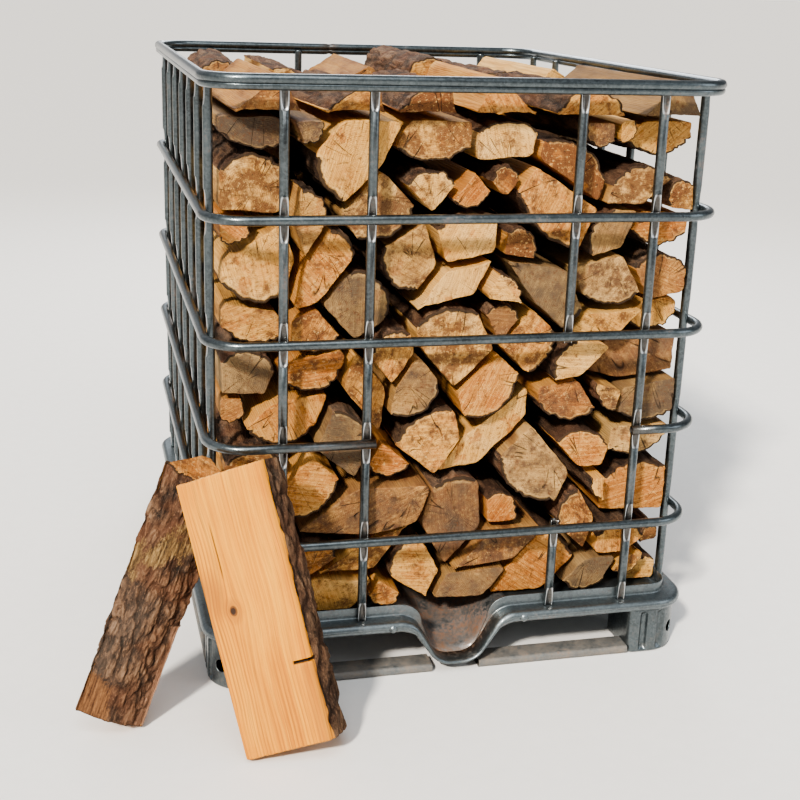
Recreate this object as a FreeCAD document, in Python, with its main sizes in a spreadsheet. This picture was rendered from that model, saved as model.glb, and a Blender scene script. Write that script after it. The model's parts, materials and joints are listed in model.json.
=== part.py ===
import FreeCAD, Part
import math
import os
import random
import Sketcher

# Firewood crate: a welded tube cage on a pressed steel pallet, filled with split logs.
# Millimetres, +Z up, origin on the floor under the middle of the pallet, front at -Y.

Vector = FreeCAD.Vector

DRIVING_SIZES = [
    ("palletWidth", 1000, "pallet from left edge to right edge"),
    ("palletDepth", 1200, "pallet from front edge to back edge"),
    ("palletCornerRadius", 80, "plan radius of the pallet's outer corners"),
    ("sheetThickness", 2.5, "pressed sheet of the rim, deck and trough"),
    ("lipLevel", 98, "underside of the rim's rolled edge"),
    ("rollRadius", 11.5, "rolled outer edge of the rim"),
    ("lipReturn", 5.5, "flat lip that the rolled edge ends in"),
    ("upstandHeight", 22, "rim wall above the ledge that the uprights stand on"),
    ("dipDepth", 93, "how far the rim dips at the front"),
    ("dipFlat", 10, "half of the level stretch at the bottom of the dip"),
    ("dipAngle", 60, "slope of the dip's sides"),
    ("dipTopBend", 50, "bend where the rim starts to dip"),
    ("dipBottomBend", 45, "bend at the bottom of the dip"),
    ("troughLength", 260, "trough from the front rim to the level deck"),
    ("troughFlat", 34, "half width of the trough's bottom"),
    ("troughEndStep", 1, "depth left where the trough runs out"),
    ("seatGap", 0.2, "gap between welded or seated pieces"),
    ("footInset", 12, "foot face behind the pallet edge"),
    ("footLength", 118, "side of a corner foot"),
    ("footWall", 4, "wall of the pressed feet"),
    ("footCorner", 14, "inner corners of a foot"),
    ("footEdge", 5, "bevel round the sole of a foot"),
    ("footHoleRadius", 13, "round hole in each corner foot"),
    ("footHoleLevel", 47, "height of that hole"),
    ("fluteRadius", 5, "upright flutes pressed into the feet"),
    ("fluteDepth", 2.4, "depth of a flute"),
    ("flutePitch", 22, "distance between flutes"),
    ("middleFootLength", 150, "length of the feet between the corners"),
    ("middleFootWidth", 74, "width of the feet between the corners"),
    ("skidHeight", 17, "flattened skid tubes between the feet"),
    ("skidWidth", 52, "width of a skid tube"),
    ("skidWall", 2, "wall of a skid tube"),
    ("skidEdge", 7, "rounded edge of a skid tube"),
    ("rivetRadius", 8, "rivet head beside the dip"),
    ("rivetRise", 4, "how far the rivet head stands out"),
    ("rivetSpacing", 16, "rivet beyond the end of the dip"),
    ("tubeRadius", 9, "uprights and rings"),
    ("tubeWall", 1.5, "wall of the cut hatch ring"),
    ("ringInset", 5, "outside of the rings behind the pallet edge"),
    ("ringCornerRadius", 80, "ring corners on the tube's middle line"),
    ("dentDepth", 4.5, "how far an upright is pressed in at each crossing"),
    ("dentLength", 92, "length of a pressed dent"),
    ("dentRunOut", 1.8, "how far outside the tube the dent's curve starts"),
    ("upperRingLevel", 910, "ring middle above the floor"),
    ("middleRingLevel", 685, "ring middle above the floor"),
    ("hatchRingLevel", 491, "ring middle above the floor"),
    ("lowerRingLevel", 292, "ring middle above the floor"),
    ("railTopLevel", 1158, "top of the top rail"),
    ("railUpperRadius", 9.5, "upper roll of the top rail"),
    ("railLowerRadius", 7.5, "lower roll of the top rail"),
    ("railRollSpacing", 11, "distance between the two rolls"),
    ("frontInnerUpright", 193, "front uprights from the middle"),
    ("frontOuterUpright", 350, "front uprights from the middle"),
    ("backInnerUpright", 131, "back uprights from the middle"),
    ("backOuterUpright", 353, "back uprights from the middle"),
    ("sideUprightFromEnd", 111, "outermost side uprights inside the pallet's front and back edges"),
    ("hatchStub", 15, "tube left beyond its last crossing at the hatch"),
    ("stackTop", 1084, "level top of the stacked logs"),
    ("stackRows", 11, "courses in the stack"),
    ("stackColumns", 7, "logs across a course"),
    ("stackSway", 0.2, "unevenness of the courses as a share of a log"),
    ("courseSway", 0.22, "how much thicker or thinner a course is than the average, as a share"),
    ("logGap", 0.3, "gap between neighbouring logs"),
    ("logChamfer", 20, "largest broken edge of a split log"),
    ("endUnevenness", 42, "how unevenly the log ends line up"),
    ("rowGap", 12, "gap between the front and back rows"),
    ("looseLogShort", 50, "how much shorter a loose log is than its half of the tray"),
    ("looseLogWidth", 150, "widest loose log"),
    ("looseLogHeight", 88, "tallest loose log"),
    ("looseLogEdge", 8, "upright edge of a loose log"),
    ("leanLogEdge", 7, "broken edge of a leaning log"),
    ("frontLeanLength", 515, "length of the front leaning log"),
    ("frontLeanWidth", 162, "split face of the front leaning log"),
    ("frontLeanThickness", 144, "front leaning log from its face to its back"),
    ("frontLeanFromSide", 121, "foot of the front leaning log inside the left edge"),
    ("frontTiltLeft", 12.4, "degrees that the front leaning log tilts to the left"),
    ("frontTiltBack", 14.5, "degrees that it tilts back to the cage"),
    ("frontTurn", 12, "degrees that its face turns to the left"),
    ("leftLeanLength", 466, "length of the left leaning log along its bark"),
    ("leftLeanWidth", 136, "left leaning log across its bark"),
    ("leftLeanThickness", 74, "left leaning log from its bark to its back"),
    ("leftLeanFromFront", 108, "foot of the left leaning log in front of the pallet"),
    ("leftTiltRight", 21.7, "degrees that the left leaning log tilts to the right"),
    ("leftTiltBack", 9.3, "degrees that it tilts back to the cage"),
    ("leftTurn", 0, "degrees that its bark turns to the right"),
    ("leftCutSlant", 30, "degrees that its top is sawn off square"),
]

TOUCH = 1e-6
SIDE_UPRIGHTS = 7
ROW_SEEDS = {"front": 11, "back": 29}
JOIN_CHANCES = (0.85, 0.4)
LEAST_CORNER = 0.06
BARK_CORNER_LIMIT = 118
BARK_RISE = (0.16, 0.3)
BLUNT_CORNER = 80
CHAMFER_RANGE = (0.3, 1)
MOST_OF_SIDE = 0.3
COURSE_LOGS = (-1, 0, 1)
EDGE_STEP = 0.82
TOP_SEED = 5
TOP_SLOTS = 6
LOOSE_KINDS = ("half", "quarter", "wedge")
LOOSE_WIDTHS = (0.8, 1)
LOOSE_HEIGHTS = (0.55, 1)
LOOSE_SLOTS = (1, 4, 8, 10)
HALF_LOG_PEAK = 0.1
QUARTER_LOG_BULGE = (0.45, 0.72)
WEDGE_LOG_RIDGE = 0.4
LEAN_BARK_END = 0.45
LEAN_RIDGE = 0.2
LEAN_BULGE = 1.28
APPROACH_STEPS = 12

doc = FreeCAD.newDocument("FirewoodCrate")
sheet = doc.addObject("Spreadsheet::Sheet", "Sizes")
for row, (alias, number, note) in enumerate(DRIVING_SIZES, start=1):
    sheet.set("A%d" % row, note)
    sheet.set("B%d" % row, str(number))
    sheet.setAlias("B%d" % row, alias)
doc.recompute()


def value(expression):
    """Number that an expression on the sheet gives now."""
    return float(sheet.evalExpression(str(expression)))


# Places that several pieces share, as expressions on the sheet
HALF_WIDTH = "Sizes.palletWidth / 2"
HALF_DEPTH = "Sizes.palletDepth / 2"
LEDGE = "(Sizes.lipLevel + 2 * Sizes.rollRadius)"
RIM_TOP = "(%s + Sizes.upstandHeight)" % LEDGE
RIM_MIDDLE = "((Sizes.lipLevel + %s) / 2)" % RIM_TOP
RING_EDGE = "(Sizes.ringInset + Sizes.tubeRadius)"
CROSSING = "(2 * Sizes.tubeRadius - Sizes.dentDepth + Sizes.seatGap)"
UPRIGHT_EDGE = "(%s + %s)" % (RING_EDGE, CROSSING)
UPSTAND_EDGE = "(%s + Sizes.tubeRadius + Sizes.seatGap)" % UPRIGHT_EDGE
DECK_EDGE = "(%s + Sizes.sheetThickness + Sizes.seatGap)" % UPSTAND_EDGE
STACK_HALF = "(%s - %s - 2 * Sizes.logGap)" % (HALF_WIDTH, DECK_EDGE)
DENT_EDGE = "(%s - Sizes.tubeRadius + Sizes.dentDepth)" % UPRIGHT_EDGE
RAIL_EDGE = "(%s - Sizes.seatGap - Sizes.railLowerRadius)" % DENT_EDGE
RAIL_UPPER = "(Sizes.railTopLevel - Sizes.railUpperRadius)"
RAIL_LOWER = "(%s - Sizes.railRollSpacing)" % RAIL_UPPER
CREASE_DROP = ("((Sizes.railRollSpacing ^ 2 + Sizes.railUpperRadius ^ 2 - Sizes.railLowerRadius ^ 2)"
               " / (2 * Sizes.railRollSpacing))")
CREASE_HALF = "sqrt(Sizes.railUpperRadius ^ 2 - %s ^ 2)" % CREASE_DROP
UPRIGHT_TOP = "(%s - %s - Sizes.seatGap)" % (RAIL_UPPER, CREASE_DROP)
DIP_RISE = ("((Sizes.dipTopBend + Sizes.dipBottomBend) * (1 - cos(Sizes.dipAngle * 1 deg)))")
DIP_SLOPE = "((Sizes.dipDepth - %s) / tan(Sizes.dipAngle * 1 deg))" % DIP_RISE
DIP_KNEE = "(Sizes.dipFlat + Sizes.dipBottomBend * sin(Sizes.dipAngle * 1 deg))"
DIP_SHOULDER = "(%s + %s)" % (DIP_KNEE, DIP_SLOPE)
DIP_HALF = "(%s + Sizes.dipTopBend * sin(Sizes.dipAngle * 1 deg))" % DIP_SHOULDER
RIM_HALF_HEIGHT = "((%s - Sizes.lipLevel) / 2)" % RIM_TOP

nodes = {}


def sub_part(label, feature):
    """Files a finished object under its own name."""
    feature.Label = label
    nodes[label] = feature
    return feature


def new_body(name):
    return doc.addObject("PartDesign::Body", name)


def place_body(body, x, y, z="0", turn=0):
    """Puts a body at a bound place, turned about the vertical by a fixed angle."""
    body.Placement = FreeCAD.Placement(Vector(), FreeCAD.Rotation(Vector(0, 0, 1), turn))
    for axis, expression in (("x", x), ("y", y), ("z", z)):
        body.setExpression("Placement.Base." + axis, str(expression))


def new_sketch(body, name, role, offset=None):
    """Sketch on one of the body's own origin planes, moved along its normal."""
    sketch = body.newObject("Sketcher::SketchObject", name)
    plane = [feature for feature in body.Origin.OriginFeatures if feature.Role == role][0]
    sketch.AttachmentSupport = [(plane, "")]
    sketch.MapMode = "FlatFace"
    if offset is not None:
        sketch.setExpression("AttachmentOffset.Base.z", str(offset))
    return sketch


def dimension(sketch, constraint, expression):
    index = sketch.addConstraint(constraint)
    sketch.setExpression("Constraints[%d]" % index, expression)


def bind_point(sketch, geometry, end, x, y):
    """Ties one point of a sketch to the two expressions that place it."""
    for kind, axis, expression in (("DistanceX", -2, str(x)), ("DistanceY", -1, str(y))):
        amount = value(expression)
        if abs(amount) < TOUCH:
            sketch.addConstraint(Sketcher.Constraint("PointOnObject", geometry, end, axis))
        elif amount > 0:
            dimension(sketch, Sketcher.Constraint(kind, -1, 1, geometry, end, amount), expression)
        else:
            dimension(sketch, Sketcher.Constraint(kind, geometry, end, -1, 1, -amount),
                      "-(%s)" % expression)


def draw_circle(sketch, x, y, radius):
    circle = Part.Circle(Vector(value(x), value(y), 0), Vector(0, 0, 1), value(radius))
    index = sketch.addGeometry(circle)
    bind_point(sketch, index, 3, x, y)
    dimension(sketch, Sketcher.Constraint("Radius", index, value(radius)), str(radius))


def draw_outline(sketch, corners, closed=True):
    """Lines and arcs through bound corners.

    A corner is (x, y) for a line to the next one, or (x, y, radius, side) for an arc that
    bulges to the right (1) or to the left (-1) of the way to the next one.
    """
    points = [Vector(value(corner[0]), value(corner[1]), 0) for corner in corners]
    runs = len(corners) if closed else len(corners) - 1
    ends = []
    for i in range(runs):
        start = points[i]
        finish = points[(i + 1) % len(points)]
        if len(corners[i]) == 2:
            index = sketch.addGeometry(Part.LineSegment(start, finish))
        else:
            radius = value(corners[i][2])
            chord = finish - start
            rise = radius - math.sqrt(max(radius ** 2 - chord.Length ** 2 / 4, 0))
            across = Vector(chord.y, -chord.x, 0).normalize() * (rise * corners[i][3])
            index = sketch.addGeometry(Part.Arc(start, (start + finish) / 2 + across, finish))
        first = 1 if sketch.getPoint(index, 1).distanceToPoint(start) < TOUCH else 2
        ends.append((index, first, 3 - first))
    for i, (index, first, last) in enumerate(ends):
        bind_point(sketch, index, first, corners[i][0], corners[i][1])
        if closed or i + 1 < runs:
            following = ends[(i + 1) % runs]
            join = Sketcher.Constraint("Coincident", index, last, following[0], following[1])
            sketch.addConstraint(join)
        else:
            bind_point(sketch, index, last, corners[-1][0], corners[-1][1])
        if len(corners[i]) > 2:
            radius = value(corners[i][2])
            dimension(sketch, Sketcher.Constraint("Radius", index, radius), str(corners[i][2]))


def rounded_rectangle(half_x, half_y, radius):
    """Corners of a rounded rectangle about the origin, as draw_outline takes them."""
    return [
        ("-(%s) + %s" % (half_x, radius), "-(%s)" % half_y),
        ("%s - %s" % (half_x, radius), "-(%s)" % half_y, radius, 1),
        (half_x, "-(%s) + %s" % (half_y, radius)),
        (half_x, "%s - %s" % (half_y, radius), radius, 1),
        ("%s - %s" % (half_x, radius), half_y),
        ("-(%s) + %s" % (half_x, radius), half_y, radius, 1),
        ("-(%s)" % half_x, "%s - %s" % (half_y, radius)),
        ("-(%s)" % half_x, "-(%s) + %s" % (half_y, radius), radius, 1),
    ]


def loop_from_front(start, half_x, half_y, radius, finish):
    """The same loop, begun at one place on the front side and ended at another."""
    loop = rounded_rectangle(half_x, half_y, radius)
    return [(start, "-(%s)" % half_y)] + loop[1:] + [loop[0], (finish, "-(%s)" % half_y)]


def pad(body, name, sketch, length):
    feature = body.newObject("PartDesign::Pad", name)
    feature.Profile = sketch
    feature.setExpression("Length", str(length))
    return feature


def pocket(body, name, sketch, length=None, symmetric=False):
    """Cut along the sketch's normal; right through where no length is given."""
    doc.recompute()
    before = body.Shape.Volume
    feature = body.newObject("PartDesign::Pocket", name)
    feature.Profile = sketch
    if length is None:
        feature.Type = "ThroughAll"
    else:
        feature.setExpression("Length", str(length))
    if symmetric:
        feature.SideType = "Symmetric"
    doc.recompute()
    if body.Shape.Volume > before - TOUCH:
        raise RuntimeError("%s cuts nothing from %s" % (name, body.Name))
    return feature


def pipe(body, name, profile, path):
    feature = body.newObject("PartDesign::AdditivePipe", name)
    feature.Profile = profile
    feature.Spine = path
    return feature


# Pallet: rolled rim with its dip, deck plate, trough, feet, skids and rivets

def pallet_rim():
    """Rolled sheet section swept round the pallet and down through the dip."""
    body = new_body("PalletRim")
    inner_roll = "(Sizes.rollRadius - Sizes.sheetThickness)"
    front = "(-(%s))" % HALF_DEPTH
    roll_middle = "(Sizes.lipLevel + Sizes.rollRadius)"
    roll_line = "(%s + Sizes.rollRadius)" % front
    lip_end = "(%s + Sizes.lipReturn)" % roll_line
    wall_out = "(%s + %s)" % (front, UPSTAND_EDGE)
    wall_in = "(%s + Sizes.sheetThickness)" % wall_out
    under = "(%s - Sizes.sheetThickness)" % LEDGE
    lip_top = "(Sizes.lipLevel + Sizes.sheetThickness)"
    section = new_sketch(body, "RimSection", "YZ_Plane", DIP_HALF)
    draw_outline(section, [
        (wall_out, RIM_TOP),
        (wall_out, LEDGE),
        (roll_line, LEDGE, "Sizes.rollRadius", -1),
        (front, roll_middle, "Sizes.rollRadius", -1),
        (roll_line, "Sizes.lipLevel"),
        (lip_end, "Sizes.lipLevel"),
        (lip_end, lip_top),
        (roll_line, lip_top, inner_roll, 1),
        ("(%s + Sizes.sheetThickness)" % front, roll_middle, inner_roll, 1),
        (roll_line, under),
        (wall_in, under),
        (wall_in, RIM_TOP),
    ])
    around = new_sketch(body, "RimPath", "XY_Plane", RIM_MIDDLE)
    draw_outline(around, loop_from_front(DIP_HALF, HALF_WIDTH, HALF_DEPTH, "Sizes.palletCornerRadius",
                                         "(-(%s))" % DIP_HALF), closed=False)
    pipe(body, "RimSides", section, around)
    dip = new_sketch(body, "DipPath", "XZ_Plane", HALF_DEPTH)
    low = "(%s - Sizes.dipDepth)" % RIM_MIDDLE
    knee_level = "(%s + Sizes.dipBottomBend * (1 - cos(Sizes.dipAngle * 1 deg)))" % low
    shoulder_level = "(%s - Sizes.dipTopBend * (1 - cos(Sizes.dipAngle * 1 deg)))" % RIM_MIDDLE
    draw_outline(dip, [
        (DIP_HALF, RIM_MIDDLE, "Sizes.dipTopBend", 1),
        (DIP_SHOULDER, shoulder_level),
        (DIP_KNEE, knee_level, "Sizes.dipBottomBend", -1),
        ("Sizes.dipFlat", low),
        ("-Sizes.dipFlat", low, "Sizes.dipBottomBend", -1),
        ("-(%s)" % DIP_KNEE, knee_level),
        ("-(%s)" % DIP_SHOULDER, shoulder_level, "Sizes.dipTopBend", 1),
        ("-(%s)" % DIP_HALF, RIM_MIDDLE),
    ], closed=False)
    pipe(body, "RimDip", section, dip)
    sub_part("pallet_rim", body)


def deck_plate():
    """Flat plate inside the rim, cut out where the trough slopes down."""
    body = new_body("DeckPlate")
    level = "%s - Sizes.sheetThickness" % LEDGE
    half_x = "(%s - %s)" % (HALF_WIDTH, DECK_EDGE)
    half_y = "(%s - %s)" % (HALF_DEPTH, DECK_EDGE)
    plan = new_sketch(body, "DeckPlan", "XY_Plane", level)
    corner = "(Sizes.palletCornerRadius - %s)" % DECK_EDGE
    draw_outline(plan, rounded_rectangle(half_x, half_y, corner))
    pad(body, "Deck", plan, "Sizes.sheetThickness")
    cut = new_sketch(body, "TroughCut", "XY_Plane", LEDGE)
    side = "(%s + Sizes.seatGap)" % DIP_HALF
    back = "(-(%s) + Sizes.troughLength + 2 * Sizes.seatGap)" % half_y
    front = "(-(%s) - Sizes.sheetThickness)" % half_y
    draw_outline(cut, [("-" + side, front), (side, front), (side, back), ("-" + side, back)])
    pocket(body, "TroughOpening", cut, "2 * Sizes.sheetThickness")
    sub_part("deck_plate", body)


def drain_trough():
    """Sheet valley that rises from the dip to the level deck."""
    body = new_body("DrainTrough")
    top = DIP_HALF
    half_y = "(%s - %s)" % (HALF_DEPTH, DECK_EDGE)
    sections = []
    places = (("Front", half_y, "Sizes.dipDepth"),
              ("Back", "(%s - Sizes.troughLength)" % half_y, "Sizes.troughEndStep"))
    for name, offset, depth in places:
        sketch = new_sketch(body, "Trough" + name, "XZ_Plane", offset)
        floor = "(%s - %s)" % (LEDGE, depth)
        thick = "Sizes.sheetThickness"
        draw_outline(sketch, [
            ("-" + top, LEDGE),
            ("-" + top, "(%s - %s)" % (LEDGE, thick)),
            ("-Sizes.troughFlat", "(%s - %s)" % (floor, thick)),
            ("Sizes.troughFlat", "(%s - %s)" % (floor, thick)),
            (top, "(%s - %s)" % (LEDGE, thick)),
            (top, LEDGE),
            ("Sizes.troughFlat", floor),
            ("-Sizes.troughFlat", floor),
        ])
        sections.append(sketch)
    loft = body.newObject("PartDesign::AdditiveLoft", "Trough")
    loft.Profile = sections[0]
    loft.Sections = [sections[1]]
    loft.Ruled = True
    sub_part("drain_trough", body)


def foot_outline(length, width, outer_corner, inset="0"):
    """Plan of a foot from its outer corner, drawn in by the wall where one is given."""
    corner = "(Sizes.footCorner - %s)" % inset
    outer = "(%s - %s)" % (outer_corner, inset)
    near = inset
    far_x = "(%s - %s)" % (length, inset)
    far_y = "(%s - %s)" % (width, inset)
    return [
        ("%s + %s" % (near, outer), near),
        ("%s - %s" % (far_x, corner), near, corner, 1),
        (far_x, "%s + %s" % (near, corner)),
        (far_x, "%s - %s" % (far_y, corner), corner, 1),
        ("%s - %s" % (far_x, corner), far_y),
        ("%s + %s" % (near, corner), far_y, corner, 1),
        (near, "%s - %s" % (far_y, corner)),
        (near, "%s + %s" % (near, outer), outer, 1),
    ]


def pressed_foot(name, length, width, height, outer_corner, flutes):
    """Deep-drawn cup: bevelled sole, open top, and flutes down its outer faces."""
    body = new_body(name)
    plan = new_sketch(body, "FootPlan", "XY_Plane")
    draw_outline(plan, foot_outline(length, width, outer_corner))
    block = pad(body, "FootBlock", plan, height)
    doc.recompute()
    sole = ["Edge%d" % number for number, edge in enumerate(block.Shape.Edges, start=1)
            if edge.BoundBox.ZMax < TOUCH]
    bevel = body.newObject("PartDesign::Chamfer", "SoleBevel")
    bevel.Base = (block, sole)
    bevel.setExpression("Size", "Sizes.footEdge")
    hollow = new_sketch(body, "FootHollow", "XY_Plane", height)
    draw_outline(hollow, foot_outline(length, width, outer_corner, "Sizes.footWall"))
    pocket(body, "Hollow", hollow, "%s - Sizes.footWall - Sizes.footEdge" % height)
    grooves = new_sketch(body, "Flutes", "XY_Plane", height)
    for x, y in flutes:
        draw_circle(grooves, x, y, "Sizes.fluteRadius")
    pocket(body, "FluteCuts", grooves)
    return body


def feet():
    """Four corner feet and the feet between them, all standing on the floor."""
    corner = "(Sizes.palletCornerRadius - Sizes.footInset)"
    outside = "-(Sizes.fluteRadius - Sizes.fluteDepth)"
    steps = ["(Sizes.footLength - %d * Sizes.flutePitch)" % count for count in (1, 2)]
    flutes = [(step, outside) for step in steps] + [(outside, step) for step in steps]
    side_x = "(%s - Sizes.footInset)" % HALF_WIDTH
    side_y = "(%s - Sizes.footInset)" % HALF_DEPTH
    corners = (("front_left", "-" + side_x, "-" + side_y, 0),
               ("front_right", side_x, "-" + side_y, 90),
               ("back_right", side_x, side_y, 180),
               ("back_left", "-" + side_x, side_y, 270))
    for name, x, y, turn in corners:
        body = pressed_foot("CornerFoot", "Sizes.footLength", "Sizes.footLength", "Sizes.lipLevel",
                            corner, flutes)
        hole = new_sketch(body, "FootHole", "XZ_Plane")
        hole.AttachmentOffset = FreeCAD.Placement(Vector(), FreeCAD.Rotation(Vector(0, 1, 0), -45))
        draw_circle(hole, "0", "Sizes.footHoleLevel", "Sizes.footHoleRadius")
        pocket(body, "FootHoleCut", hole, corner)
        place_body(body, x, y, turn=turn)
        sub_part("corner_foot_" + name, body)
    length = "Sizes.middleFootLength"
    width = "Sizes.middleFootWidth"
    steps = ["(%s / 2 + %d * Sizes.flutePitch)" % (length, count) for count in (-2, -1, 0, 1, 2)]
    flutes = [(step, outside) for step in steps]
    middles = (("side_foot_left", "-" + side_x, length + " / 2", 270, "Sizes.lipLevel"),
               ("side_foot_right", side_x, "-%s / 2" % length, 90, "Sizes.lipLevel"),
               ("back_foot", length + " / 2", side_y, 180, "Sizes.lipLevel"),
               ("centre_foot", "-%s / 2" % length, "-%s / 2" % width, 0,
                "(%s - Sizes.sheetThickness)" % LEDGE))
    for name, x, y, turn, height in middles:
        body = pressed_foot("MiddleFoot", length, width, height, "Sizes.footCorner", flutes)
        place_body(body, x, y, turn=turn)
        sub_part(name, body)


def skid_bar(x, y, turn, length):
    """Flattened tube along its own X from a bound place."""
    body = new_body("SkidBar")
    section = new_sketch(body, "SkidSection", "YZ_Plane")
    middle = "(Sizes.skidHeight / 2)"
    for inset in ("0", "Sizes.skidWall"):
        half_width = "(Sizes.skidWidth / 2 - %s)" % inset
        half_height = "(%s - %s)" % (middle, inset)
        edge = "(Sizes.skidEdge - %s)" % inset
        ring = rounded_rectangle(half_width, half_height, edge)
        raised = [(corner[0], "%s + %s" % (middle, corner[1])) + corner[2:] for corner in ring]
        draw_outline(section, raised)
    pad(body, "Skid", section, length)
    place_body(body, x, y, turn=turn)
    return body


def skids():
    """Skid tubes between the feet, one node for each side of the pallet and the middle."""
    middle_x = "(%s - Sizes.footInset - Sizes.skidWidth / 2)" % HALF_WIDTH
    middle_y = "(%s - Sizes.footInset - Sizes.skidWidth / 2)" % HALF_DEPTH
    corner_x = "(%s - Sizes.footInset - Sizes.footLength - Sizes.seatGap)" % HALF_WIDTH
    corner_y = "(%s - Sizes.footInset - Sizes.footLength - Sizes.seatGap)" % HALF_DEPTH
    beside_foot = "(Sizes.middleFootLength / 2 + Sizes.seatGap)"
    sweep = "(Sizes.dipBottomBend + %s)" % RIM_HALF_HEIGHT
    clearance = "(%s - Sizes.dipDepth - %s)" % (RIM_MIDDLE, RIM_HALF_HEIGHT)
    lift = "(1 - (Sizes.skidHeight - %s) / %s)" % (clearance, sweep)
    beside_dip = "(Sizes.dipFlat + %s * sqrt(1 - %s ^ 2) + Sizes.seatGap)" % (sweep, lift)
    behind_centre = "(Sizes.middleFootWidth / 2 + Sizes.seatGap)"
    front_reach = "(%s - %s - 2 * Sizes.seatGap)" % (HALF_DEPTH, DECK_EDGE)
    back_reach = "(%s - Sizes.footInset - Sizes.middleFootWidth - Sizes.seatGap)" % HALF_DEPTH
    side_run = "(%s - %s)" % (corner_y, beside_foot)
    back_run = "(%s - %s)" % (corner_x, beside_foot)
    front_run = "(%s - %s)" % (corner_x, beside_dip)
    groups = {
        "front_skids": [("-" + corner_x, "-" + middle_y, 0, front_run),
                        (beside_dip, "-" + middle_y, 0, front_run)],
        "back_skids": [("-" + corner_x, middle_y, 0, back_run),
                       (beside_foot, middle_y, 0, back_run)],
        "left_skids": [("-" + middle_x, "-" + corner_y, 90, side_run),
                       ("-" + middle_x, beside_foot, 90, side_run)],
        "right_skids": [(middle_x, "-" + corner_y, 90, side_run),
                        (middle_x, beside_foot, 90, side_run)],
        "centre_skids": [("0", "-" + front_reach, 90, "%s - %s" % (front_reach, behind_centre)),
                         ("0", behind_centre, 90, "%s - %s" % (back_reach, behind_centre))],
    }
    for label, bars in groups.items():
        group = doc.addObject("Part::Compound", label)
        group.Links = [skid_bar(*bar) for bar in bars]
        sub_part(label, group)


def trough_rivets():
    """Domed rivet heads on the rolled edge, one on each side of the dip."""
    heads = []
    for side in ("-", ""):
        body = new_body("Rivet")
        half = new_sketch(body, "RivetHalf", "XZ_Plane")
        dome = "((Sizes.rivetRadius ^ 2 + Sizes.rivetRise ^ 2) / (2 * Sizes.rivetRise))"
        draw_outline(half, [("0", "0"), ("Sizes.rivetRadius", "0", dome, 1), ("0", "Sizes.rivetRise")])
        turned = body.newObject("PartDesign::Revolution", "RivetHead")
        turned.Profile = half
        turned.ReferenceAxis = (half, ["V_Axis"])
        turned.Angle = 360
        body.Placement = FreeCAD.Placement(Vector(), FreeCAD.Rotation(Vector(1, 0, 0), 90))
        body.setExpression("Placement.Base.x", "%s(%s + Sizes.rivetSpacing)" % (side, DIP_HALF))
        body.setExpression("Placement.Base.y", "-(%s) - Sizes.seatGap" % HALF_DEPTH)
        body.setExpression("Placement.Base.z", "Sizes.lipLevel + Sizes.rollRadius")
        heads.append(body)
    group = doc.addObject("Part::Compound", "Rivets")
    group.Links = heads
    sub_part("trough_rivets", group)


# Cage: top rail, four rings, and uprights pressed in where they cross a ring

def ring_loop(edge):
    """Half sizes of a loop that runs at one distance behind the pallet edge."""
    return "(%s - %s)" % (HALF_WIDTH, edge), "(%s - %s)" % (HALF_DEPTH, edge)


def top_rail():
    """Two rolls with a crease between them, swept round the mouth of the cage."""
    body = new_body("TopRail")
    half_x, half_y = ring_loop(RAIL_EDGE)
    path = new_sketch(body, "RailPath", "XY_Plane", RAIL_UPPER)
    draw_outline(path, loop_from_front("0", half_x, half_y, "Sizes.ringCornerRadius", "0")[:-1])
    section = new_sketch(body, "RailSection", "YZ_Plane")
    middle = "(-(%s))" % half_y
    crease = "(%s - %s)" % (RAIL_UPPER, CREASE_DROP)
    draw_outline(section, [
        ("%s + %s" % (middle, CREASE_HALF), crease, "Sizes.railUpperRadius", 1),
        (middle, "Sizes.railTopLevel", "Sizes.railUpperRadius", 1),
        ("%s - %s" % (middle, CREASE_HALF), crease, "Sizes.railLowerRadius", 1),
        (middle, "(%s - Sizes.railLowerRadius)" % RAIL_LOWER, "Sizes.railLowerRadius", 1),
    ])
    pipe(body, "Rail", section, path)
    sub_part("top_rail", body)


def closed_ring(label, level):
    body = new_body("Ring")
    half_x, half_y = ring_loop(RING_EDGE)
    path = new_sketch(body, "RingPath", "XY_Plane", level)
    draw_outline(path, loop_from_front("0", half_x, half_y, "Sizes.ringCornerRadius", "0")[:-1])
    section = new_sketch(body, "RingSection", "YZ_Plane")
    draw_circle(section, "-" + half_y, level, "Sizes.tubeRadius")
    pipe(body, "Ring", section, path)
    sub_part(label, body)


def hatch_ring():
    """Hollow ring with its front cut away between two uprights, so its ends are open."""
    body = new_body("HatchRing")
    half_x, half_y = ring_loop(RING_EDGE)
    right_end = "(Sizes.frontOuterUpright - Sizes.hatchStub)"
    left_end = "(Sizes.hatchStub - Sizes.frontInnerUpright)"
    path = new_sketch(body, "RingPath", "XY_Plane", "Sizes.hatchRingLevel")
    draw_outline(path, loop_from_front(right_end, half_x, half_y, "Sizes.ringCornerRadius", left_end),
                 closed=False)
    section = new_sketch(body, "RingSection", "YZ_Plane", right_end)
    draw_circle(section, "-" + half_y, "Sizes.hatchRingLevel", "Sizes.tubeRadius")
    draw_circle(section, "-" + half_y, "Sizes.hatchRingLevel", "(Sizes.tubeRadius - Sizes.tubeWall)")
    pipe(body, "Ring", section, path)
    sub_part("hatch_ring", body)


UPPER_CROSSINGS = [RAIL_LOWER, "Sizes.upperRingLevel", "Sizes.middleRingLevel"]
ALL_CROSSINGS = UPPER_CROSSINGS + ["Sizes.hatchRingLevel", "Sizes.lowerRingLevel", LEDGE]
LOWER_CROSSINGS = ["Sizes.lowerRingLevel", LEDGE]


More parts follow.
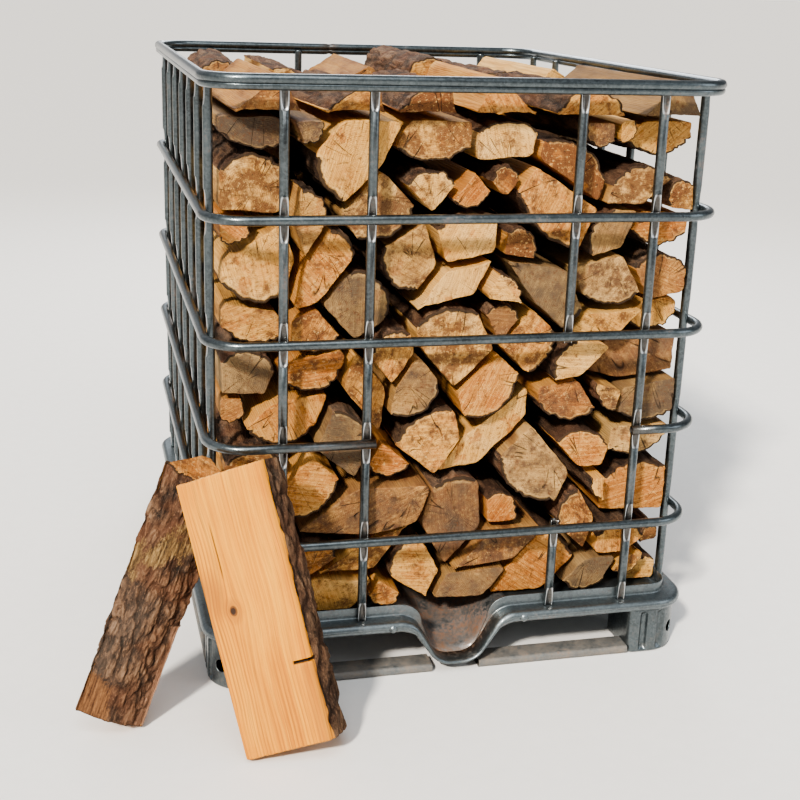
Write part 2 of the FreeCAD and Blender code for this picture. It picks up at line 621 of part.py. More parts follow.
def upright(label, x, y, turn, bottom, top, crossings):
    """Tube with a long dent pressed into its outer side at every crossing."""
    body = new_body("Upright")
    plan = new_sketch(body, "TubePlan", "XY_Plane", bottom)
    draw_circle(plan, "0", "0", "Sizes.tubeRadius")
    pad(body, "Tube", plan, "(%s) - (%s)" % (top, bottom))
    dents = new_sketch(body, "Dents", "YZ_Plane")
    face = "(-(Sizes.tubeRadius + Sizes.dentRunOut))"
    reach = "(Sizes.dentRunOut + Sizes.dentDepth)"
    bend = "((Sizes.dentLength ^ 2 / 4 + %s ^ 2) / (2 * %s))" % (reach, reach)
    for level in crossings:
        draw_outline(dents, [
            (face, "(%s + Sizes.dentLength / 2)" % level),
            (face, "(%s - Sizes.dentLength / 2)" % level, bend, 1),
        ])
    pocket(body, "PressedDents", dents, symmetric=True)
    place_body(body, x, y, turn=turn)
    sub_part(label, body)


def uprights():
    front = "-(%s - %s)" % (HALF_DEPTH, UPRIGHT_EDGE)
    back = "(%s - %s)" % (HALF_DEPTH, UPRIGHT_EDGE)
    right = "(%s - %s)" % (HALF_WIDTH, UPRIGHT_EDGE)
    hatch_top = "(Sizes.middleRingLevel - Sizes.hatchStub)"
    hatch_bottom = "(Sizes.lowerRingLevel + Sizes.hatchStub)"
    inner = "Sizes.frontInnerUpright"
    outer = "Sizes.frontOuterUpright"
    upright("front_upright_1", "-" + outer, front, 0, LEDGE, UPRIGHT_TOP, ALL_CROSSINGS)
    upright("front_upright_2", "-" + inner, front, 0, LEDGE, UPRIGHT_TOP, ALL_CROSSINGS)
    upright("front_upright_3_upper", inner, front, 0, hatch_top, UPRIGHT_TOP, UPPER_CROSSINGS)
    upright("front_upright_3_lower", inner, front, 0, LEDGE, hatch_bottom, LOWER_CROSSINGS)
    upright("front_upright_4", outer, front, 0, LEDGE, UPRIGHT_TOP, ALL_CROSSINGS)
    back_places = ("Sizes.backOuterUpright", "Sizes.backInnerUpright",
                   "-Sizes.backInnerUpright", "-Sizes.backOuterUpright")
    for number, x in enumerate(back_places, start=1):
        upright("back_upright_%d" % number, x, back, 180, LEDGE, UPRIGHT_TOP, ALL_CROSSINGS)
    for number in range(1, SIDE_UPRIGHTS + 1):
        y = "%g * (%s - Sizes.sideUprightFromEnd)" % (2 * (number - 1) / (SIDE_UPRIGHTS - 1) - 1, HALF_DEPTH)
        upright("left_upright_%d" % number, "-" + right, y, 270, LEDGE, UPRIGHT_TOP, ALL_CROSSINGS)
        upright("right_upright_%d" % number, right, y, 90, LEDGE, UPRIGHT_TOP, ALL_CROSSINGS)


# Load: split logs stacked in two rows, loose logs on top and two leaning logs

def corners_of(polygon):
    """Each corner with the ones before and after it."""
    count = len(polygon)
    return [(polygon[i - 1], polygon[i], polygon[(i + 1) % count]) for i in range(count)]


def turn_at(before, corner, after):
    """Interior angle of a corner of a convex outline, in degrees."""
    first = before - corner
    second = after - corner
    return math.degrees(first.getAngle(second))


def is_convex(polygon):
    for before, corner, after in corners_of(polygon):
        first = corner - before
        second = after - corner
        if first.x * second.z - first.z * second.x < LEAST_CORNER * first.Length * second.Length:
            return False
    return True


def roundness(polygon):
    """Area over the square of the girth, which is larger for a rounder outline."""
    girth = 0
    area = 0
    for before, corner, after in corners_of(polygon):
        girth += (after - corner).Length
        area += (corner.x * after.z - corner.z * after.x) / 2
    return area / girth ** 2


def drawn_in(polygon, distance):
    """Convex outline with every side moved inwards by the same distance."""
    lines = []
    for i, start in enumerate(polygon):
        along = (polygon[(i + 1) % len(polygon)] - start).normalize()
        inward = Vector(-along.z, 0, along.x)
        lines.append((start + inward * distance, along))
    result = []
    for i, (point, along) in enumerate(lines):
        other, direction = lines[i - 1]
        cross = direction.x * along.z - direction.z * along.x
        gap = point - other
        result.append(other + direction * ((gap.x * along.z - gap.z * along.x) / cross))
    return result


def course_levels(draw):
    """Heights of the lines between courses, each course a little thicker or thinner than the next."""
    rows = int(value("Sizes.stackRows"))
    sway = value("Sizes.courseSway")
    low = value(LEDGE)
    high = value("Sizes.stackTop")
    shares = [draw.uniform(1 - sway, 1 + sway) for _ in range(rows)]
    unit = (high - low) / sum(shares)
    return [low + unit * sum(shares[:row]) for row in range(rows)] + [high]


def stack_lattice(draw):
    """Uneven triangular lattice across the cage, level at the deck and at the top."""
    columns = int(value("Sizes.stackColumns"))
    half = value(STACK_HALF)
    sway = value("Sizes.stackSway")
    levels = course_levels(draw)
    height = (levels[-1] - levels[0]) / (len(levels) - 1)
    lattice = []
    for row, level in enumerate(levels):
        count = columns + draw.choice(COURSE_LOGS)
        width = 2 * half / count
        steps = list(range(count + 1))
        if row % 2:
            inner = [column + 0.5 for column in range(1, count - 1)]
            steps = [0, EDGE_STEP] + inner + [count - EDGE_STEP, count]
        line = []
        for step in steps:
            x = -half + step * width
            z = level
            if 0 < step < count:
                x += draw.uniform(-sway, sway) * width
            if 0 < row < len(levels) - 1:
                z += draw.uniform(-sway, sway) * height
            line.append(Vector(x, 0, z))
        lattice.append(line)
    return lattice


def lattice_triangles(lattice):
    """Triangles between each two rows of the lattice, as tuples of (row, column)."""
    triangles = []
    for row in range(len(lattice) - 1):
        low, high = lattice[row], lattice[row + 1]
        i, j = 0, 0
        while i < len(low) - 1 or j < len(high) - 1:
            use_low = j == len(high) - 1
            if not use_low and i < len(low) - 1:
                use_low = low[i + 1].x < high[j + 1].x
            if use_low:
                triangles.append(((row, i), (row, i + 1), (row + 1, j)))
                i += 1
            else:
                triangles.append(((row, i), (row + 1, j + 1), (row + 1, j)))
                j += 1
    return triangles


def joined(first, second):
    """Two outlines that share a side as one, or None where they don't meet."""
    for i in range(len(first)):
        start, finish = first[i], first[(i + 1) % len(first)]
        for j in range(len(second)):
            if second[j] == finish and second[(j + 1) % len(second)] == start:
                rest = [second[(j + 2 + k) % len(second)] for k in range(len(second) - 2)]
                return first[:i + 1] + tuple(rest) + first[i + 1:]
    return None


def split_outlines(draw):
    """Cross-sections of the logs: lattice triangles, many joined to a neighbour or two."""
    lattice = stack_lattice(draw)
    waiting = lattice_triangles(lattice)
    outlines = []

    def places(outline):
        return [lattice[row][column] for row, column in outline]

    while waiting:
        outline = waiting.pop(0)
        for chance in JOIN_CHANCES:
            if draw.random() > chance:
                break
            merged = []
            for other in waiting:
                both = joined(outline, other)
                if both and is_convex(places(both)):
                    merged.append((both, other))
            if not merged:
                break
            outline, used = max(merged, key=lambda pair: roundness(places(pair[0])))
            waiting.remove(used)
        outlines.append(places(outline))
    return outlines


def log_outline(polygon, draw):
    """Split sides with broken edges, and a round bark side where a side has sharp corners."""
    polygon = drawn_in(polygon, value("Sizes.logGap") / 2)
    count = len(polygon)
    angles = [turn_at(*corner) for corner in corners_of(polygon)]
    sides = [i for i in range(count) if max(angles[i], angles[(i + 1) % count]) < BARK_CORNER_LIMIT]
    edge = value("%s - Sizes.logGap" % STACK_HALF)
    sides = [i for i in sides if min(abs(polygon[i].x), abs(polygon[(i + 1) % count].x)) < edge]
    sides.sort(key=lambda i: (polygon[(i + 1) % count] - polygon[i]).Length)
    bark = sides[-1] if sides else None
    chamfer = value("Sizes.logChamfer")
    edges = []
    points = []
    order = range(count) if bark is None else [(bark + 2 + k) % count for k in range(count - 2)]
    for i in order:
        before, corner, after = polygon[i - 1], polygon[i], polygon[(i + 1) % count]
        cut = chamfer * draw.uniform(*CHAMFER_RANGE)
        if angles[i] > BLUNT_CORNER:
            cut /= 2
        for other in (before, after):
            share = min(cut / (other - corner).Length, MOST_OF_SIDE)
            points.append(corner + (other - corner) * share)
    if bark is not None:
        first, last = polygon[bark], polygon[(bark + 1) % count]
        before, after = polygon[bark - 1], polygon[(bark + 2) % count]
        along = (last - first).normalize()
        inward = Vector(-along.z, 0, along.x)
        rise = draw.uniform(*BARK_RISE) * (last - first).Length
        rise = min(rise, 0.5 * (before - first).dot(inward), 0.5 * (after - last).dot(inward))
        left = first + (before - first) * (rise / (before - first).dot(inward))
        right = last + (after - last) * (rise / (after - last).dot(inward))
        middle = first + along * ((left + right) / 2 - first).dot(along)
        edges.append(Part.Arc(left, middle, right).toShape())
        points = [right] + points + [left]
    for i in range(len(points) - 1):
        edges.append(Part.makeLine(points[i], points[i + 1]))
    if bark is None:
        edges.append(Part.makeLine(points[-1], points[0]))
    return Part.Wire(Part.__sortEdges__(edges))


def corner_limit(reach):
    """How far along Y a log at this distance from the middle may go in the tray's round corner."""
    half_x = value("%s - %s - Sizes.logGap" % (HALF_WIDTH, DECK_EDGE))
    half_y = value("%s - %s - Sizes.logGap" % (HALF_DEPTH, DECK_EDGE))
    radius = value("Sizes.palletCornerRadius - %s" % DECK_EDGE)
    into = reach - (half_x - radius)
    if into <= 0:
        return half_y
    return half_y - radius + math.sqrt(max(radius ** 2 - into ** 2, 0))


def solid_from(wire, along):
    solid = Part.Face(wire).extrude(along)
    if solid.Volume < 0:
        solid.reverse()
    return solid


def stacked_row(side, seed):
    """One row of logs, sorted into a low, a middle and a high group."""
    draw = random.Random(seed)
    uneven = value("Sizes.endUnevenness")
    middle = value("Sizes.rowGap") / 2
    low = value(LEDGE)
    third = (value("Sizes.stackTop") - low) / 3
    groups = {"low": [], "middle": [], "high": []}
    for polygon in split_outlines(draw):
        wire = log_outline(polygon, draw)
        box = wire.BoundBox
        outer = corner_limit(max(-box.XMin, box.XMax)) - draw.uniform(0, uneven)
        inner = middle + draw.uniform(0, uneven)
        start, finish = (-outer, -inner) if side == "front" else (inner, outer)
        wire.translate(Vector(0, start, 0))
        solid = solid_from(wire, Vector(0, finish - start, 0))
        level = min(int((box.Center.z - low) / third), 2)
        groups[("low", "middle", "high")[level]].append(solid)
    for name, solids in groups.items():
        feature = doc.addObject("Part::Feature", "Firewood")
        feature.Shape = Part.makeCompound(solids)
        sub_part("firewood_%s_%s" % (side, name), feature)


def loose_log(kind, width, height, length):
    """Split log lying on a flat side, along Y about its own middle: half, quarter or wedge."""
    half = width / 2
    edge = value("Sizes.looseLogEdge")
    start = -length / 2
    low = [Vector(-half, start, edge), Vector(-half, start, 0),
           Vector(half, start, 0), Vector(half, start, edge)]
    if kind == "half":
        peak = Vector(HALF_LOG_PEAK * half, start, height)
        edges = [Part.Arc(low[3], peak, low[0]).toShape()]
    elif kind == "quarter":
        shoulder = Vector(-half + edge, start, height)
        bulge = Vector(QUARTER_LOG_BULGE[0] * half, start, QUARTER_LOG_BULGE[1] * height)
        edges = [Part.Arc(low[3], bulge, shoulder).toShape(), Part.makeLine(shoulder, low[0])]
    else:
        ridge = WEDGE_LOG_RIDGE * half
        tip = [Vector(ridge + edge, start, height - edge), Vector(ridge - edge, start, height)]
        edges = [Part.makeLine(low[3], tip[0]), Part.makeLine(tip[0], tip[1]),
                 Part.makeLine(tip[1], low[0])]
    edges += [Part.makeLine(low[i], low[i + 1]) for i in range(3)]
    return solid_from(Part.Wire(Part.__sortEdges__(edges)), Vector(0, length, 0))


def top_logs():
    """Loose logs side by side on the level stack; some lift off by themselves."""
    draw = random.Random(TOP_SEED)
    half_x = value("%s - %s - Sizes.looseLogEdge" % (HALF_WIDTH, DECK_EDGE))
    half_y = value("%s - %s" % (HALF_DEPTH, DECK_EDGE))
    pitch = 2 * half_x / TOP_SLOTS
    widest = min(value("Sizes.looseLogWidth"), pitch - value("Sizes.looseLogEdge"))
    level = value("Sizes.stackTop + Sizes.logGap")
    middle = value("Sizes.rowGap") / 2
    short = value("Sizes.looseLogShort")
    logs = []
    for side in (-1, 1):
        for slot in range(TOP_SLOTS):
            width = widest * draw.uniform(*LOOSE_WIDTHS)
            height = value("Sizes.looseLogHeight") * draw.uniform(*LOOSE_HEIGHTS)
            length = half_y - middle - short * draw.uniform(1, 1.5)
            solid = loose_log(draw.choice(LOOSE_KINDS), width, height, length)
            room = math.degrees(math.atan((pitch - width) / length))
            half_turn = draw.choice((0, 180))
            solid.rotate(Vector(), Vector(0, 0, 1), half_turn + room * draw.uniform(-0.9, 0.9))
            spare = half_y - middle - length
            y = side * (middle + length / 2 + spare * draw.uniform(0.35, 0.65))
            solid.translate(Vector(-half_x + (slot + 0.5) * pitch, y, level))
            logs.append(solid)
    for number, slot in enumerate(LOOSE_SLOTS, start=1):
        feature = doc.addObject("Part::Feature", "LooseLog")
        feature.Shape = logs[slot]
        sub_part("loose_log_%d" % number, feature)
    feature = doc.addObject("Part::Feature", "TopLogs")
    feature.Shape = Part.makeCompound([log for slot, log in enumerate(logs) if slot not in LOOSE_SLOTS])
    sub_part("firewood_top", feature)


def sawn_log(wire, length, slant):
    """Log along Z from its outline, with a top that is sawn at a slant and rises along Y."""
    reach = wire.BoundBox.DiagonalLength
    solid = solid_from(wire, Vector(0, 0, length + reach))
    waste = Part.makeBox(4 * reach, 4 * reach, 4 * reach, Vector(-2 * reach, -2 * reach, 0))
    waste.rotate(Vector(), Vector(1, 0, 0), slant)
    waste.translate(Vector(0, 0, length))
    return solid.cut(waste)


def leaning_log(label, solid, foot, sideways, backwards, turn, approach, props):
    """Log tilted from the vertical, stood on the floor and moved up to what it leans on."""
    axis = Vector(math.tan(math.radians(sideways)), math.tan(math.radians(backwards)), 1).normalize()
    facing = Vector(math.cos(math.radians(turn)), math.sin(math.radians(turn)), 0)
    across = (facing - axis * facing.dot(axis)).normalize()
    inward = axis.cross(across)
    tilted = FreeCAD.Matrix(across.x, inward.x, axis.x, foot.x,
                            across.y, inward.y, axis.y, foot.y,
                            across.z, inward.z, axis.z, foot.z,
                            0, 0, 0, 1)
    solid.transformShape(tilted, True)
    gap = value("Sizes.logGap")
    solid.translate(Vector(0, 0, gap - solid.BoundBox.ZMin))
    for step in range(APPROACH_STEPS):
        solid.translate(approach * (solid.distToShape(props)[0] - gap))
    feature = doc.addObject("Part::Feature", "LeaningLog")
    feature.Shape = solid
    return sub_part(label, feature)


def front_log_outline():
    """Wedge with a flat split face, bark round its right side and a split back."""
    half = value("Sizes.frontLeanWidth") / 2
    thick = value("Sizes.frontLeanThickness")
    edge = value("Sizes.leanLogEdge")
    face = [Vector(-half, edge, 0), Vector(-half + edge, 0, 0),
            Vector(half - edge, 0, 0), Vector(half, edge, 0)]
    bark_end = Vector(LEAN_BARK_END * half, thick, 0)
    ridge = Vector(LEAN_RIDGE * half, thick - edge / 2, 0)
    thin_edge = Vector(-half, 3 * edge, 0)
    bulge = Vector(LEAN_BULGE * half, thick / 2, 0)
    run = [bark_end, ridge, thin_edge, face[0]]
    edges = [Part.makeLine(face[i], face[i + 1]) for i in range(3)]
    edges.append(Part.Arc(face[3], bulge, bark_end).toShape())
    edges += [Part.makeLine(run[i], run[i + 1]) for i in range(3)]
    return Part.Wire(edges)


def left_log_outline():
    """Bark turned to the front, two split sides and a narrow back."""
    half = value("Sizes.leftLeanWidth") / 2
    thick = value("Sizes.leftLeanThickness")
    edge = value("Sizes.leanLogEdge")
    shoulder = thick / 3
    bark = [Vector(-half, shoulder, 0), Vector(half, shoulder, 0)]
    back = [Vector(half / 3, thick, 0), Vector(half / 3 - 3 * edge, thick, 0)]
    run = [bark[1], back[0], back[1], bark[0]]
    edges = [Part.Arc(bark[0], Vector(), bark[1]).toShape()]
    edges += [Part.makeLine(run[i], run[i + 1]) for i in range(3)]
    return Part.Wire(edges)


def leaning_logs():
    """Two big split logs stood against the front left corner."""
    doc.recompute()
    names = ["middle_ring", "hatch_ring", "lower_ring", "pallet_rim", "front_upright_1",
             "left_upright_1", "corner_foot_front_left"]
    props = [nodes[name].Shape for name in names]
    clear_x = value("%s + 3 * Sizes.leftLeanWidth" % HALF_WIDTH)
    clear_y = value("%s + 3 * Sizes.frontLeanThickness" % HALF_DEPTH)
    foot = Vector(value("Sizes.frontLeanFromSide - %s" % HALF_WIDTH), -clear_y, 0)
    solid = sawn_log(front_log_outline(), value("Sizes.frontLeanLength"), 0)
    front_log = leaning_log("leaning_log_front", solid, foot, -value("Sizes.frontTiltLeft"),
                            value("Sizes.frontTiltBack"), -value("Sizes.frontTurn"),
                            Vector(0, 1, 0), Part.makeCompound(props))
    foot = Vector(-clear_x, -value("%s + Sizes.leftLeanFromFront" % HALF_DEPTH), 0)
    solid = sawn_log(left_log_outline(), value("Sizes.leftLeanLength"), value("Sizes.leftCutSlant"))
    leaning_log("leaning_log_left", solid, foot, value("Sizes.leftTiltRight"),
                value("Sizes.leftTiltBack"), value("Sizes.leftTurn"),
                Vector(1, 0, 0), Part.makeCompound(props + [front_log.Shape]))


pallet_rim()
deck_plate()
drain_trough()
feet()
skids()
trough_rivets()
top_rail()
closed_ring("upper_ring", "Sizes.upperRingLevel")
closed_ring("middle_ring", "Sizes.middleRingLevel")
hatch_ring()
closed_ring("lower_ring", "Sizes.lowerRingLevel")
uprights()
for row_side, row_seed in ROW_SEEDS.items():
    stacked_row(row_side, row_seed)
top_logs()
leaning_logs()
doc.recompute()

failed = [item.Label for item in doc.Objects if "Invalid" in item.State or "Error" in item.State]
for label, feature in nodes.items():
    shape = feature.Shape
    if shape.isNull() or not shape.isValid() or not shape.Solids:
        failed.append(label)
if failed:
    raise RuntimeError("not built: " + ", ".join(failed))

os.makedirs("parts", exist_ok=True)
for label, feature in nodes.items():
    feature.Shape.exportStep("parts/%s.step" % label)
solid_count = sum(len(feature.Shape.Solids) for feature in nodes.values())
print(len(nodes), "nodes written,", solid_count, "solids")
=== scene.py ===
import json
import math
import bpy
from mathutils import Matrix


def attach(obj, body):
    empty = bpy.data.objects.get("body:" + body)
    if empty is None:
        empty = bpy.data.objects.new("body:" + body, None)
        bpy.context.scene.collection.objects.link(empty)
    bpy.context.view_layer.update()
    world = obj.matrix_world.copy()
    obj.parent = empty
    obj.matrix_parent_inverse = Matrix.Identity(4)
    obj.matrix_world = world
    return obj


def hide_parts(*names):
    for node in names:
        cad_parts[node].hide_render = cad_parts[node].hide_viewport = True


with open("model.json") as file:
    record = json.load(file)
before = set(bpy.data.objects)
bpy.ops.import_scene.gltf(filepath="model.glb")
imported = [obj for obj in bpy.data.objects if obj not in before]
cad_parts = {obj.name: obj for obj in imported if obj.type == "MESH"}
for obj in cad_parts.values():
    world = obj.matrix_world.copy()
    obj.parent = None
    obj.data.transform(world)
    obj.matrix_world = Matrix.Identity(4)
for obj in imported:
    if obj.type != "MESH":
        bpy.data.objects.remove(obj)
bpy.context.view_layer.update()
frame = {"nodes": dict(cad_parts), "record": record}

from types import SimpleNamespace

import bpy
import numpy as np
from mathutils import Matrix, Vector

# Firewood crate: split logs in a galvanised tube cage on a pressed pallet; metres, front at -Y
print("frame loaded:", len(frame["nodes"]), "nodes")

fullTurn = 2 * math.pi
tiny = 1e-6
noTriangles = np.zeros((0, 3), int)
joined = np.concatenate


def named(values):
    # a dictionary's values, read by name
    return SimpleNamespace(**values)


def unit(values):
    return np.clip(values, 0, 1)


def eased(share):
    # s-curve from 0 to 1
    return share * share * (3 - 2 * share)


# Meshes from whole arrays

def putMesh(name, points, quads, triangles, slots, materials, layers=None, smooth=True):
    # vertices, then quads and triangles as one list of corners, then point attributes
    mesh = bpy.data.meshes.new(name)
    corners = joined([quads.ravel(), triangles.ravel()]).astype(np.int32)
    totals = joined([np.full(len(quads), 4), np.full(len(triangles), 3)])
    starts = joined([[0], np.cumsum(totals)[:-1]]).astype(np.int32)
    mesh.vertices.add(len(points))
    mesh.vertices.foreach_set("co", np.ascontiguousarray(points, np.float32).ravel())
    mesh.loops.add(len(corners))
    mesh.loops.foreach_set("vertex_index", corners)
    mesh.polygons.add(len(totals))
    mesh.polygons.foreach_set("loop_start", starts)
    mesh.polygons.foreach_set("material_index", np.asarray(slots, np.int32))
    mesh.polygons.foreach_set("use_smooth", np.full(len(totals), smooth))
    for layer, values in (layers or {}).items():
        kind, field = ("FLOAT_VECTOR", "vector") if values.ndim == 2 else ("FLOAT", "value")
        attribute = mesh.attributes.new(layer, kind, "POINT")
        attribute.data.foreach_set(field, np.ascontiguousarray(values, np.float32).ravel())
    mesh.update(calc_edges=True)
    mesh.validate()
    for material in materials:
        mesh.materials.append(material)
    piece = bpy.data.objects.new(name, mesh)
    bpy.context.scene.collection.objects.link(piece)
    return piece


def gridQuads(rows, columns, closedRows=False):
    # corner numbers of the cells between neighbouring rows and columns; the columns close to rings
    row = np.arange(rows if closedRows else rows - 1)
    r, c = np.meshgrid(row, np.arange(columns), indexing="ij")
    nextRow, nextColumn = (r + 1) % rows, (c + 1) % columns
    cells = [r * columns + c, r * columns + nextColumn,
             nextRow * columns + nextColumn, nextRow * columns + c]
    return np.stack(cells, -1).reshape(-1, 4)


def capped(grid):
    # rows of closed rings, with a pole in the middle of the first and the last ring
    rows, count = grid.shape[:2]
    points = joined([grid.reshape(-1, 3), grid[[0, -1]].mean(1)])
    fan = np.arange(count)
    after = (fan + 1) % count
    first, last, tail = rows * count, rows * count + 1, (rows - 1) * count
    triangles = joined([np.stack([after, fan, np.full(count, first)], 1),
                        np.stack([tail + fan, tail + after, np.full(count, last)], 1)])
    return points, gridQuads(rows, count), triangles


def nodePoints(node):
    mesh = frame["nodes"][node].data
    points = np.empty(len(mesh.vertices) * 3)
    mesh.vertices.foreach_get("co", points)
    return points.reshape(-1, 3)


def latticeNoise(points, seed):
    # smooth noise from 0 to 1: random values on a cubic lattice, blended along each axis by an s-curve
    size = 24
    table = np.random.default_rng(seed).random((size, size, size))
    low = np.floor(points).astype(int)
    share = eased(points - low)
    total = 0
    for step in np.ndindex(2, 2, 2):
        at = (low + step) % size
        weight = np.where(np.array(step) == 1, share, 1 - share).prod(-1)
        total = total + weight * table[at[..., 0], at[..., 1], at[..., 2]]
    return total


slotNames = {subpart["node"]: subpart["material_slot"] for subpart in frame["record"]["subparts"]}


def bodyOf(node):
    return next(body for body, members in frame["record"]["behaviour"]["bodies"].items() if node in members)


def dress(piece, node):
    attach(piece, bodyOf(node))
    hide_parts(node)


# Shader maths

def mathNode(operation, reflected=False):
    # a method that joins its own socket and the others in a Math node
    def method(self, *others):
        values = (self, *others)
        return self.join(operation, *(values[::-1] if reflected else values))
    return method


class Flow:
    # a socket whose operators add Math nodes
    def __init__(self, tree, socket):
        self.tree, self.socket = tree, socket

    def join(self, operation, *values):
        node = self.tree.nodes.new("ShaderNodeMath")
        node.operation = operation
        for slot, value in zip(node.inputs, values):
            plug(self.tree, slot, value)
        return Flow(self.tree, node.outputs[0])

    __add__, __radd__ = mathNode("ADD"), mathNode("ADD", True)
    __sub__, __rsub__ = mathNode("SUBTRACT"), mathNode("SUBTRACT", True)
    __mul__, __rmul__ = mathNode("MULTIPLY"), mathNode("MULTIPLY", True)
    __truediv__, __rtruediv__ = mathNode("DIVIDE"), mathNode("DIVIDE", True)
    __pow__, __rpow__ = mathNode("POWER"), mathNode("POWER", True)
    sine, cosine, size = mathNode("SINE"), mathNode("COSINE"), mathNode("ABSOLUTE")
    atLeast, atMost, angleOver = mathNode("MAXIMUM"), mathNode("MINIMUM"), mathNode("ARCTAN2")

    def clear(self):
        return self.atLeast(0.0).atMost(1.0)

    def rise(self, start, full):
        # 0 before start, 1 past full, a straight slope between
        return ((self - start) / (full - start)).clear()


def plug(tree, slot, value):
    if isinstance(value, Flow):
        tree.links.new(value.socket, slot)
    elif isinstance(value, (tuple, list)) and len(value) == 3 and slot.type == "RGBA":
        slot.default_value = (*value, 1.0)
    else:
        slot.default_value = value


class Nodes:
    # adds nodes to a tree by kind, settings and sockets
    def __init__(self, tree):
        self.tree = tree

    def add(self, kind, settings=None, sockets=None, out=0):
        node = self.tree.nodes.new("ShaderNode" + kind)
        for key, value in (settings or {}).items():
            setattr(node, key, value)
        for key, value in (sockets or {}).items():
            plug(self.tree, node.inputs[key], value)
        return Flow(self.tree, node.outputs[out])

    def attribute(self, name, out="Vector"):
        return self.add("Attribute", {"attribute_name": name}, out=out)

    def parts(self, vector):
        first = self.add("SeparateXYZ", None, {0: vector})
        return [Flow(self.tree, socket) for socket in first.socket.node.outputs]

    def vector(self, *parts):
        return self.add("CombineXYZ", None, dict(enumerate(parts)))

    def noise(self, vector, scale, detail, rough):
        sockets = {"Vector": vector, "Scale": scale, "Detail": detail, "Roughness": rough}
        return self.add("TexNoise", None, sockets)

    def blend(self, share, first, second):
        return self.add("Mix", {"data_type": "RGBA"}, {0: share, 6: first, 7: second}, out=2)

    def ramp(self, share, stops):
        flow = self.add("ValToRGB", None, {0: share})
        elements = flow.socket.node.color_ramp.elements
        while len(elements) < len(stops):
            elements.new(0.5)
        for element, (place, colour) in zip(elements, stops):
            element.position, element.color = place, (*colour, 1.0)
        return flow


class Finish(Nodes):
    # a material on the Principled shader; fixed values go on the shader's own sockets
    def __init__(self, name, **fixed):
        self.material = bpy.data.materials.new(name)
        self.material.use_nodes = True
        Nodes.__init__(self, self.material.node_tree)
        self.shader = self.tree.nodes["Principled BSDF"]
        self.drive(**fixed)

    def drive(self, **links):
        for socket, flow in links.items():
            plug(self.tree, self.shader.inputs[socket.replace("_", " ")], flow)

    def coat(self, colour, coats, masks, tints):
        # each coat: mask, where it starts, where it is full, strength and tint
        for mask, start, full, strength, tint in coats:
            colour = self.blend(masks[mask].rise(start, full) * strength, colour, tints[tint])
        self.drive(Base_Color=colour)

    def relief(self, weights, masks, strength, distance):
        # bump whose height is the masks times their weights
        height = sum(masks[mask] * weight for mask, weight in weights.items())
        sockets = {"Strength": strength, "Distance": distance, "Height": height}
        self.drive(Normal=self.add("Bump", None, sockets))


# Wood finishes. Noise: scale across, scale along, detail, roughness. Coats: see Finish.coat

woodTints = {
    "cream": (0.68, 0.435, 0.170), "pale": (0.60, 0.325, 0.088), "tan": (0.47, 0.21, 0.052),
    "orange": (0.37, 0.120, 0.023), "red": (0.21, 0.058, 0.019), "brown": (0.115, 0.043, 0.016),
    "grey": (0.070, 0.054, 0.039), "dark": (0.026, 0.014, 0.008), "lichen": (0.15, 0.125, 0.100),
    "russet": (0.175, 0.078, 0.042), "flake": (0.33, 0.205, 0.130), "hollow": (0.014, 0.009, 0.006),
    "fresh": (0.028, 0.018, 0.012), "raw": (0.42, 0.240, 0.150), "lateWood": (0.29, 0.100, 0.018),
    "light": (0.86, 0.43, 0.052), "fine": (0.20, 0.072, 0.017), "warm": (0.33, 0.112, 0.019),
    # slot: near-black painted shade for the saw slot
    "slot": (0.006, 0.004, 0.003),
}
woodRamp = [(place, woodTints[tint]) for place, tint in
            ((0.05, "cream"), (0.28, "pale"), (0.55, "tan"), (0.80, "orange"), (1.0, "red"))]
ringPitch = 0.0036


class LogFinish(Finish):
    # on a log's own attributes; grain: across, up and along the log; tone: weathering, warmth and stain
    def __init__(self, name, gloss, noise):
        Finish.__init__(self, name, Specular_IOR_Level=gloss)
        self.across, self.upward, self.along = self.parts(self.attribute("grain"))
        self.weather, self.warmth, self.stain = self.parts(self.attribute("tone"))
        self.masks = {key: self.streaks(*values) for key, values in noise.items()}

    def streaks(self, wide, slow, detail, rough):
        place = self.vector(self.across * wide, self.upward * wide, self.along * slow)
        return self.noise(place, 1.0, detail, rough)

    def rings(self, wide, sway):
        # year rings round the pith, swayed by a wide noise: the radius, and the sine of its share of a ring
        radius = (self.across * self.across + self.upward * self.upward) ** 0.5 + (wide - 0.5) * sway
        return radius, (radius * (fullTurn / ringPitch)).sine() * 0.5 + 0.5

    def wood(self, warm, wide, base):
        # from cream to red by the log's warmth and a wide noise
        share = self.warmth * warm + (self.masks["wide"] - 0.5) * wide + base
        return self.ramp(share, woodRamp)

    def close(self, colour, look, tints=woodTints):
        self.coat(colour, look["coats"], self.masks, tints)
        rough, mask, share = look["rough"]
        self.drive(Roughness=rough + self.masks[mask] * share)
        self.relief(look["relief"], self.masks, *look["bump"])
        return self.material


